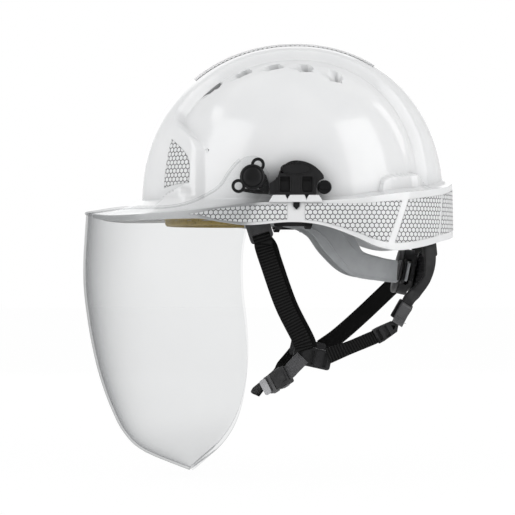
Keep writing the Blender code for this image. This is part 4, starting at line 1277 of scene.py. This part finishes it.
def make_visor():
    turns = [90 * math.sin(math.pi / 2 * i / VISOR_COLUMNS) for i in range(VISOR_COLUMNS + 1)]
    downs = [i / VISOR_ROWS for i in range(VISOR_ROWS + 1)]
    columns = [(turn, RIGHT) for turn in reversed(turns[1:])] + [(turn, LEFT) for turn in turns]
    surface = Surface()
    surface.grid([[visor_point(turn, down, side) for turn, side in columns] for down in downs])
    inside = (0, 0, -60)
    settings = {"sharp": 60, "weld": 0.005, "outward": inside}
    obj = surface.piece("visor", "clear_sheet", "visor_body", ["visor"], **settings)
    thicken(obj, VISOR_THICKNESS)
    rim = Surface()
    line = [visor_point(turn, 0, side) for turn, side in columns[BEAD_STOP:-BEAD_STOP]]
    looks = [Vector((0, 0, 1))] * len(line)
    add_strap(rim, line, looks, RIM_BEAD, RIM_BEAD, 2)
    rim.piece("visor_rim", "clear_sheet", "visor_body", sharp=60)
    cutters = Surface()
    for _, sign in SIDES:
        cutters.plate(side_axes(sign), circle(PIVOT, PIVOT_HOLE), (100, 125))
    mesh = bpy.data.meshes.new("pivot_holes")
    mesh.from_pydata([v * MM for v in cutters.verts], [], cutters.faces)
    cutter = bpy.data.objects.new("pivot_holes", mesh)
    bpy.context.scene.collection.objects.link(cutter)
    cut = obj.modifiers.new("pivot_holes", "BOOLEAN")
    cut.operation = "DIFFERENCE"
    cut.object = cutter
    apply_modifiers(obj)
    bpy.data.objects.remove(cutter, do_unlink=True)


def apply_modifiers(obj):
    graph = bpy.context.evaluated_depsgraph_get()
    mesh = bpy.data.meshes.new_from_object(obj.evaluated_get(graph))
    obj.modifiers.clear()
    obj.data = mesh


# ---------------------------------------------------------------- straps

STRAP_WIDTH = 15
STRAP_THICKNESS = 1.4
STRAP_ARC = 4
FRONT_WIDTH = 14.8
RIB_DEPTH = 0.35


def strap_section(width, thickness):
    """Half the tape's outline and its mirror image, as (across, out) points with round edges."""
    radius = thickness / 2
    reach = width / 2 - radius
    flat = [reach * (1 - 2 * k / 8) for k in range(1, 8)]
    outline = [(reach + radius * math.cos(a), radius * math.sin(a)) for a in quarter_turns(-90, 90)]
    outline += [(across, radius) for across in flat]
    outline += [(-reach + radius * math.cos(a), radius * math.sin(a)) for a in quarter_turns(90, 270)]
    return outline + [(-across, -radius) for across in flat]


def quarter_turns(start, end):
    return [math.radians(start + (end - start) * i / (2 * STRAP_ARC)) for i in range(2 * STRAP_ARC + 1)]


def route_frames(path, faces):
    """Each point of a route, with the directions across the tape and out of its face."""
    last = len(path) - 1
    for i, point in enumerate(path):
        along = (path[min(i + 1, last)] - path[max(i - 1, 0)]).normalized()
        across = faces[i].cross(along).normalized()
        yield point, across, along.cross(across).normalized()


def add_strap(surface, points, outs, width=STRAP_WIDTH, thickness=STRAP_THICKNESS, steps=12, rib=0.0):
    """A woven strap along a route; outs are the directions its face looks in, widths may vary."""
    path, faces = smooth_path(points, steps), smooth_path(outs, steps)
    widths = [width] * len(path)
    if isinstance(width, list):
        widths = [p.x for p in smooth_path([(w, 0, 0) for w in width], steps)]
    rows, flats = [], []
    length = 0.0
    for i, (point, across, out) in enumerate(route_frames(path, faces)):
        length += (point - path[i - 1]).length if i else 0
        ribbed = thickness + rib * math.sin(2 * math.pi * length / RIB_PITCH)
        outline = strap_section(widths[i], ribbed)
        rows.append([point + across * u + out * w for u, w in outline])
        flats.append([(u, length) for u, _ in outline])
    surface.tube(rows, flats)


def strap(name, points, outs, finish, slot=None, **settings):
    """A strap that stands for the CAD node of its own name."""
    surface = Surface()
    add_strap(surface, points, outs, **settings)
    return surface.piece(name, finish, HELMET, [name], slot, 50)


def mirrored(points, sign):
    return [(sign * x, y, z) for x, y, z in points]


# ---------------------------------------------------------------- headband and ratchet

HEADBAND_LINE = [
    ((0, -112, 6), (0, -1, 0), 28),
    ((42, -105, 6), (0.35, -0.94, 0), 28),
    ((70, -82, 6), (0.75, -0.66, 0), 28),
    ((83, -46, 6), (0.97, -0.25, 0), 28),
    ((87, -4, 4), (1, 0, 0), 28),
    ((86.5, 20, -6), (1, 0.05, 0), 29),
    ((84.5, 34, -25), (0.97, 0.2, 0), 28),
    ((80, 48, -41), (0.92, 0.38, 0), 23),
    ((67, 68, -46.5), (0.72, 0.69, 0), 20),
    ((50, 84, -49), (0.6, 0.8, 0), 19),
]
NAPE_CENTRE = (0, 97, -50)
NAPE_LEAN = math.radians(12)
TOOTH_PITCH = 2.5
RACK_TOOTH = 1.35
RACK_REACH = 52
HOUSING_RADIUS = 19.8
PINION_TEETH = 10
GRIP_GROOVES = 24
GRIP_DEPTH = 0.05


def full_line(half):
    """The whole line from its left half, running from the right end round the front to the left end."""
    right = [((-p[0], p[1], p[2]), (-n[0], n[1], n[2]), h) for p, n, h in reversed(half[1:])]
    return right + list(half)


def make_headband():
    points, outs, heights = zip(*full_line(HEADBAND_LINE))
    strap("headband", points, outs, "harness_grey", width=list(heights), thickness=1.8, steps=10)
    ribs = Surface()
    for offset in (-0.42, 0.42):
        line, looks = [], []
        for p, n, h in full_line(HEADBAND_LINE):
            look = Vector(n).normalized()
            line.append(Vector(p) + look * 1.0 + Vector((0, 0, h * offset)))
            looks.append(look)
        add_strap(ribs, line, looks, 1.4, 0.9, 10)
    ribs.piece("headband_ribs", "harness_grey", HELMET)
    inner, looks = [], []
    for p, n, _ in full_line(HEADBAND_LINE[:4]):
        inner.append(Vector(p) - Vector(n).normalized() * 0.8 + Vector((0, 0, 0.3)))
        looks.append(n)
    pad = Surface()
    add_pad(pad, inner, looks, 33, 7, 10)
    pad.piece("sweatband", "sweatband_tan", HELMET, ["sweatband"], sharp=60)


PAD_STEPS = 48
# The sewn channels' place and width, as shares of the pad's half width.
SEAM_PLACE = 0.72
SEAM_WIDTH = 0.05


def add_pad(surface, points, outs, width, thickness, steps):
    """A soft band along a route: crowned across its width, with pinched edges and stitched channels."""
    path, faces = smooth_path(points, steps), smooth_path(outs, steps)
    last = len(path) - 1
    rows = []
    for i, (point, across, out) in enumerate(route_frames(path, faces)):
        close = 0.35 + 0.65 * smooth_step(min(i, last - i) / 3)
        puff = 1 + 0.06 * math.sin(i * 1.3)
        half_width = width / 2 * (0.97 + 0.03 * close)
        row = []
        for k in range(PAD_STEPS):
            turn = 2 * math.pi * k / PAD_STEPS
            u = math.copysign(abs(math.cos(turn)) ** 0.6, math.cos(turn))
            w = math.copysign(abs(math.sin(turn)) ** 0.75, math.sin(turn))
            channel = 1 - 0.28 * math.exp(-((abs(abs(u) - SEAM_PLACE) / SEAM_WIDTH) ** 2))
            rise = w * thickness / 2 * close * channel * puff
            row.append(point + across * u * half_width + out * rise)
        rows.append(row)
    surface.tube(rows)


def nape_axes():
    """Along is the wearer's left, across is up the leaning housing and out is the knob's axis."""
    out = (0, math.cos(NAPE_LEAN), -math.sin(NAPE_LEAN))
    return Axes(NAPE_CENTRE, (1, 0, 0), out, (0, math.sin(NAPE_LEAN), math.cos(NAPE_LEAN)))


def toothed_slot(half_length, half_height, teeth_up):
    """A slot with teeth along its upper or lower edge and a gap between two teeth at its middle."""
    count = int(half_length / TOOTH_PITCH)
    edge = [(-half_length, half_height)]
    for i in range(-count, count):
        middle = (i + 0.5) * TOOTH_PITCH
        for step, height in ((-0.5, 0), (-0.2, RACK_TOOTH), (0.2, RACK_TOOTH), (0.5, 0)):
            edge.append((middle + step, half_height - height))
    edge.append((half_length, half_height))
    outline = edge + [(half_length, -half_height), (-half_length, -half_height)]
    if teeth_up:
        return outline
    return [(x, -y) for x, y in outline]


def gear_outline():
    """The pinion's teeth, with one straight up and one straight down."""
    outline = []
    for i in range(PINION_TEETH):
        middle = 90 + 360 * i / PINION_TEETH
        for turn, radius in ((-12, 3.2), (-3.6, 4.5), (3.6, 4.5), (12, 3.2)):
            outline.append(arc((0, 0), radius, middle + turn, 0, 1)[0])
    return outline


def make_ratchet():
    axes = nape_axes()
    middle = (0, 0)
    body = [(34, -10.5), (38, -7), (38, 7), (34, 10.5), *arc(middle, HOUSING_RADIUS, 32, 148, 30)]
    body += [(-34, 10.5), (-38, 7), (-38, -7), (-34, -10.5), *arc(middle, HOUSING_RADIUS, 212, 328, 30)]
    housing = plates(axes, (body, (-6.4, -4.4)))
    for start in (34, 214):
        wall = arc(middle, HOUSING_RADIUS, start, start + 112, 30)
        wall += arc(middle, HOUSING_RADIUS - 2.2, start + 112, start, 30)
        housing.plate(axes, wall, (-4.6, 0.2))
    fitting(housing, "ratchet_housing", "fitting_black", 0.5)
    cover = Surface()
    cover.plate(axes, body, (0, 2.2), [circle((0, 0), 3.2)])
    for place in (-27, 27):
        cover.plate(axes, rectangle(place - 6, -6, place + 6, 6, 1.5), (2, 2.8))
        cover.plate(axes, rectangle(place - 8.5, -1, place + 8.5, 1, 0.8), (2, 3.3))
    cover.plate(axes, circle((0, 0), 16), (2, 5.2), [circle((0, 0), 3.2)])
    fitting(cover, "ratchet_cover", "fitting_black", 0.5)
    for (label, sign), depth in zip(SIDES, ((-4, -2.6), (-2.2, -0.8))):
        ends = (-18 * sign, RACK_REACH * sign)
        outline = rectangle(min(ends), -8, max(ends), 8, 1.5)
        rack = plates(axes, (outline, depth, [toothed_slot(14, 4.8, sign == LEFT)]))
        fitting(rack, f"rack_{label}", "harness_grey", 0.15, 2, f"rack_{label}_body")
    pinion = Surface()
    pinion.plate(axes, gear_outline(), (-4.2, -0.4))
    pinion.turned(axes, [(2.2, -1), (2.4, -0.8), (2.4, 5.6)])
    fitting(pinion, "ratchet_pinion", "knob_black", 0.1, 2, "ratchet", "fitting_black")

    def grip(turn, radius, depth):
        """Grooves round the knob's wide part."""
        if radius < 17 or depth > 14.3:
            return 1
        return 1 - GRIP_DEPTH * (0.5 + 0.5 * math.cos(GRIP_GROOVES * turn)) ** 2

    knob = Surface()
    profile = [(18.4, 6), (19.6, 6.6), (20, 7.6), (20, 12.8), (19.6, 14), (18.6, 14.5), (15.6, 14.5)]
    profile += [(14.8, 14.9), (14, 16.6), (13.2, 17.2), (12, 17.4), (10.4, 17.2), (9.6, 16.4)]
    profile += [(4, 16.1), (0.5, 16.1)]
    knob.turned(axes, profile, 240, grip)
    knob.piece("ratchet_knob", "knob_black", "ratchet", ["ratchet_knob"], "fitting_black", 50)
    pad = Surface()
    line = [axes.at(u, 0, -9.1) for u in (-36, -24, -12, 0, 12, 24, 36)]
    add_pad(pad, line, [axes.out] * len(line), 18, 4.6, 8)
    pad.turned(axes, [(17.5, -11.4), (19.3, -10.8), (20, -9.2), (19.6, -7.4), (18.6, -6.7)])
    pad.piece("nape_pad", "pad_black", HELMET, ["nape_pad"], sharp=60)


# ---------------------------------------------------------------- crown cradle

CRADLE = (
    ("cradle_strap_long", 0, 98, 0),
    ("cradle_strap_left", 58, 86, -3.2),
    ("cradle_strap_right", -58, 86, -6.4),
)
CRADLE_TOP = 116
CRADLE_FOOT = 26
CRADLE_WIDTH = 20
HANGER_DEPTH = 9


def make_cradle():
    for name, azimuth, reach, drop in CRADLE:
        turn = math.radians(azimuth)
        flat = Vector((math.sin(turn), -math.cos(turn), 0))
        path, outs = [], []
        rise = CRADLE_TOP + drop - CRADLE_FOOT
        for i in range(25):
            angle = math.radians(4 + 172 * i / 24)
            height = CRADLE_FOOT + rise * math.sin(angle)
            path.append(flat * reach * math.cos(angle) + Vector((0, 0, height)))
            outs.append(flat * math.cos(angle) + Vector((0, 0, math.sin(angle))))
        strap(name, path, outs, "cradle_grey", width=CRADLE_WIDTH, steps=4)
        for end, sign in (("front", 1), ("rear", -1)):
            out = flat * sign
            axes = Axes(out * (reach + 1.6) + Vector((0, 0, CRADLE_FOOT)), (0, 0, 1), out)
            outline = [(-4, -11), (6, -11), *arc((6, -7), 4, -90, 0, 6)]
            outline += [*arc((6, 7), 4, 0, 90, 6), (-4, 11)]
            depth = HANGER_DEPTH if azimuth else 2 * HANGER_DEPTH
            node = f"hanger_{name.split('_')[-1]}_{end}"
            hanger = plates(axes, (outline, (0, 2), [rectangle(-1.5, -8, 1, 8, 0.8)]))
            for place in (-7, 0, 7):
                hanger.plate(axes, rectangle(-2, place - 0.8, 8, place + 0.8), (1.8, depth))
            hanger.plate(axes, rectangle(5, -8, 8, 8, 0.8), (1.8, depth))
            fitting(hanger, node, "harness_grey", 0.4, 2)


# ---------------------------------------------------------------- chin strap

FRONT_ANCHOR = (91.5, -32, -14)
FRONT_ROUTE = [(91.5, -28.4, -28.4), (91.5, -24, -42), (90, -12, -76), (87.2, 2, -104), (86.2, 5, -113)]
DIVIDER_CENTRE = (80, 12, -120)
REAR_ANCHOR = (56, 111, -27)
REAR_ARM_ROUTE = [(58.5, 111.5, -40), (59.5, 109, -54), (61.5, 101, -65), (64.6, 94.5, -71)]
CAM_CENTRE = (66, 88, -82)
LOWER_CENTRE = (69, 73, -99)
REAR_LEFT_ROUTE = [(71.8, 62.5, -104.3), (80.5, 44, -111.5), (83.8, 25, -118.5)]
REAR_RIGHT_ROUTE = [(-59.2, 110, -43), (-63.5, 93, -58), (-72, 62, -88), (-80.5, 40, -108)]
REAR_RIGHT_ROUTE += [(-83.8, 25, -119)]
SHORT_ROUTE = [(84, 4, -120), (83.9, -0.5, -124.5), (83.4, -4.5, -128.7), (82.2, -6.8, -131.4)]
BUCKLE_CENTRE = (77, -15.5, -138.5)
LONG_ROUTE = [(69.2, -28.2, -147.2), (58, -30.5, -147), (30, -32.5, -148.5), (0, -33, -149)]
LONG_ROUTE += [(-34, -30, -147), (-62, -20, -143), (-79.5, -9.5, -136), (-83.6, -2, -128)]
LONG_ROUTE += [(-83.8, 3.5, -121.5)]


def rounded_frame(outer_u, outer_v, radius=2.5):
    return rectangle(-outer_u, -outer_v, outer_u, outer_v, radius)


def make_front_strap(label, sign):
    anchor = mirrored([FRONT_ANCHOR], sign)[0]
    axes = Axes(anchor, (0, 0.3, -0.95), (sign, 0, 0))
    frame_outline = rounded_frame(9, 10, 3)
    holder = plates(
        axes,
        (frame_outline, (-1.5, 1.5), [rectangle(2.6, -7.8, 6, 7.8, 0.8)]),
        (frame_outline, (1.2, 2.6), [rectangle(-6, -7.4, 6.4, 7.4, 2)]),
        (rectangle(-5, -4.5, 1, 4.5, 1.5), (1.2, 2.2)),
    )
    fitting(holder, f"front_anchor_{label}", "lever_grey", 0.5, slot="buckle_grey")
    out, up = axes.out, -axes.along
    outer = mirrored([(x + 1.5, y, z) for x, y, z in FRONT_ROUTE[::-1]], sign)
    outer += [axes.at(11, 0, 3.2), axes.at(7.5, 0, 3.7), axes.at(5.2, 0, 2.8), axes.at(4.3, 0, 0)]
    looks = [out] * (len(FRONT_ROUTE) + 2) + [(out + up).normalized(), up]
    name = f"front_strap_{label}"
    strap(name, outer, looks, "webbing_black", width=FRONT_WIDTH, steps=40, rib=RIB_DEPTH)
    inner = [axes.at(4.3, 0, 0.4), axes.at(5.4, 0, -2), axes.at(9, 0, -2.4)]
    inner += mirrored([(x - 1.5, y + 4, z) for x, y, z in FRONT_ROUTE], sign)
    looks = [up, (up - out).normalized(), -out] + [-out] * len(FRONT_ROUTE)
    layer = Surface()
    add_strap(layer, inner, looks, FRONT_WIDTH)
    layer.piece(f"front_inner_{label}", "webbing_plain", HELMET, slot="webbing_black", sharp=50)


def make_divider(label, sign):
    """Where the front and rear straps meet: two bars and a stepped middle."""
    centre = mirrored([DIVIDER_CENTRE], sign)[0]
    axes = Axes(centre, (0, 1, -0.22), (sign, 0, 0))
    grooves = [rectangle(low, -6, low + 2.8, 6, 0.6) for low in (-12.5, -1.5, 9.7)]
    divider = plates(
        axes,
        (rounded_frame(16, 8), (-1.8, 0.4)),
        (rounded_frame(16, 8), (0.2, 2), grooves),
        (rectangle(-8.6, -6.6, -2.8, 6.6, 1), (1.8, 2.9)),
        (rectangle(2.6, -6.6, 8.6, 6.6, 1), (1.8, 2.9)),
    )
    fitting(divider, f"divider_{label}", "buckle_grey", 0.5)


def make_rear_anchor(label, sign):
    anchor = mirrored([REAR_ANCHOR], sign)[0]
    axes = Axes(anchor, (0, 0.1, -1), (sign, 0.35, 0))
    holder = plates(
        axes,
        (rounded_frame(9.5, 6.4, 2), (-1.3, 1.3)),
        (rectangle(-7, -5, 1, 5, 1.5), (1.1, 2)),
        (rectangle(3.6, -5, 7, 5, 0.8), (1.1, 2)),
    )
    fitting(holder, f"rear_anchor_{label}", "fitting_black", 0.5)


def make_rear_left():
    outs = [(1, 0.5, 0.1), (0.7, 1, 0.2), (0.6, 1, 0.4), (1, 0.3, 0.1)]
    arm = Surface()
    route = [(57.6, 110.5, -22), *REAR_ARM_ROUTE, (65.6, 91, -77)]
    outs = [outs[0], *outs, outs[-1]]
    add_strap(arm, route, outs, [12, 11.5, 11, 10.5, 10.5, 10], 3.2)
    arm.piece("rear_arm_left", "fitting_black", HELMET, ["rear_arm_left"], sharp=50)
    axes = Axes(CAM_CENTRE, (0.1, -0.5, -0.86), (1, 0.3, 0))
    cam = plates(axes, (rounded_frame(8.4, 6.6, 1.2), (-3, -1)))
    for low, high in ((-6.8, -5.2), (5.2, 6.8)):
        cam.plate(axes, rectangle(-8.2, low, 8.2, high, 0.8), (-1.5, 4))
    fitting(cam, "cam_body_left", "fitting_black", 0.4, 2)
    pin = axes.at(-4, 0, 2.6)
    lever_axes = Axes(pin, axes.along, axes.across, axes.out)
    lever = arc((0, 0), 2.6, 90, 270, 16)
    lever += [(6, -2.2), (11, -0.8), (14, 0.4), (16.4, 2.6), (14, 2.4), (6, 1.4)]
    part = plates(lever_axes, (lever, (-4.9, 4.9)))
    for i in range(4):
        part.plate(lever_axes, rectangle(9 + 1.6 * i, 1.4, 9.8 + 1.6 * i, 2.6), (-4, 4))
    fitting(part, "cam_lever_left", "lever_grey", 0.35, 2, "cam_lever", "buckle_grey")
    axes = Axes(LOWER_CENTRE, (0.14, -0.86, -0.48), (1, 0.2, 0))
    outline = [(-9, -5), (4, -6.4), (9, -6.4), (9, 6.4), (4, 6.4), (-9, 5), (-13, 0)]
    grooves = [rectangle(4.4, -4.8, 7, 4.8, 0.5), rectangle(-3, -4.8, 1, 4.8, 0.5)]
    window = [(-7, -2.6), (-7, 2.6), (-10.4, 0)]
    lower = plates(
        axes,
        (outline, (-2, 0.2), [window]),
        (outline, (0.1, 2), [*grooves, window]),
        (rectangle(1.4, -5.2, 4, 5.2, 0.8), (1.8, 3.2)),
    )
    fitting(lower, "lower_adjuster_left", "buckle_grey", 0.5)
    outs = [(1, 0.3, 0.3), (1, 0.3, 0.3), (0.8, 0.5, 0.7), (1, 0.1, 0.2)]
    route = [(70.9, 66.4, -102.6), *REAR_LEFT_ROUTE]
    widths = [11, 11.5, 12, 13.5]
    strap("rear_strap_left", route, outs, "webbing_black", width=widths, steps=36, rib=RIB_DEPTH)
    link = Surface()
    add_strap(link, [(66.6, 85, -87), (67.4, 81.5, -92.5), (68.2, 77.5, -96)], [(1, 0.3, 0)] * 3, 7)
    link.piece("rear_link_left", "webbing_plain", HELMET, slot="webbing_black", sharp=50)


def make_rear_right():
    outs = [(-1, 0.25, 0.1)] * len(REAR_RIGHT_ROUTE)
    strap("rear_strap_right", REAR_RIGHT_ROUTE, outs, "webbing_plain", "webbing_black")


def make_buckle():
    axes = Axes(BUCKLE_CENTRE, (-0.38, -0.76, -0.52), (0.88, -0.46, 0.05))
    shell = rectangle(-10, -7.5, 4, 7.5, 1.6)
    socket = plates(
        axes,
        (shell, (-4, -2.4)),
        (shell, (2.4, 4)),
        (rectangle(-9.8, -7.3, -6.5, 7.3, 1), (-3, 3)),
        (rectangle(1.5, -7.3, 3.8, -5.6), (-3, 3)),
        (rectangle(1.5, 5.6, 3.8, 7.3), (-3, 3)),
        (rectangle(-8, -4.5, -3, 4.5, 1), (3.8, 4.6)),
    )
    fitting(socket, "buckle_socket", "buckle_grey", 0.4, 2)
    plug = plates(
        axes,
        (rectangle(4.8, -7.5, 11.5, 7.5, 1.4), (-3.4, 3.4), [rectangle(7.6, -6, 9.8, 6, 0.5)]),
        (rectangle(-5.4, -1.6, 5.4, 1.6, 0.8), (-1.6, 1.6)),
    )
    fitting(plug, "buckle_plug", "lever_grey", 0.4, 2, slot="buckle_grey")
    flap = plates(axes, (rectangle(9.4, -6.8, 15.8, 6.8, 2), (3.2, 4.2)))
    bevel(flap.piece("buckle_flap", "flap_grey", HELMET, slot="buckle_grey"), 0.3, 2)
    for label, low, high in (("lower", 4.6, 8.6), ("upper", -8.6, -4.6)):
        button = plates(axes, (rectangle(-5.8, low, 0.8, high, 1), (-1.9, 1.9)))
        outer = high - 0.2 if high > 0 else low + 0.2
        for i in range(3):
            edge = sorted((outer, outer - math.copysign(1, outer)))
            button.plate(axes, rectangle(-4.8 + 1.9 * i, edge[0], -4.0 + 1.9 * i, edge[1]), (-2.1, 2.1))
        fitting(button, f"buckle_button_{label}", "button_grey", 0.3, 2, f"button_{label}")
    outs = [(1, -0.1, 0.1), (1, -0.2, 0.1), (1, -0.3, 0.1), (0.9, -0.4, 0.1), (0.9, -0.45, 0.1)]
    route = [*SHORT_ROUTE, (79.6, -11.6, -135)]
    strap("chin_strap_short", route, outs, "strap_grey", "webbing_black", width=12.5)
    outs = [(0.8, -0.5, 0.5), (0.3, -0.7, 0.65), (0.1, -0.6, 0.8), (0, -0.6, 0.8), (-0.2, -0.6, 0.75)]
    outs += [(-0.5, -0.5, 0.4), (-0.75, -0.4, -0.1), (-1, -0.2, 0), (-1, 0, 0)]
    strap("chin_strap_long", LONG_ROUTE, outs, "webbing_plain", "webbing_black")


# ---------------------------------------------------------------- assembly

make_camera()
make_studio()
make_floor()
materials = make_materials()
make_shell()
make_films()
for side_label, side_sign in SIDES:
    make_adapter(side_label, side_sign)
    make_seat(side_label, side_sign)
    make_clip(side_label, side_sign)
    make_switch(side_label, side_sign)
    make_pivot(side_label, side_sign)
    make_front_strap(side_label, side_sign)
    make_divider(side_label, side_sign)
    make_rear_anchor(side_label, side_sign)
make_visor()
make_headband()
make_ratchet()
make_cradle()
make_rear_left()
make_rear_right()
make_buckle()
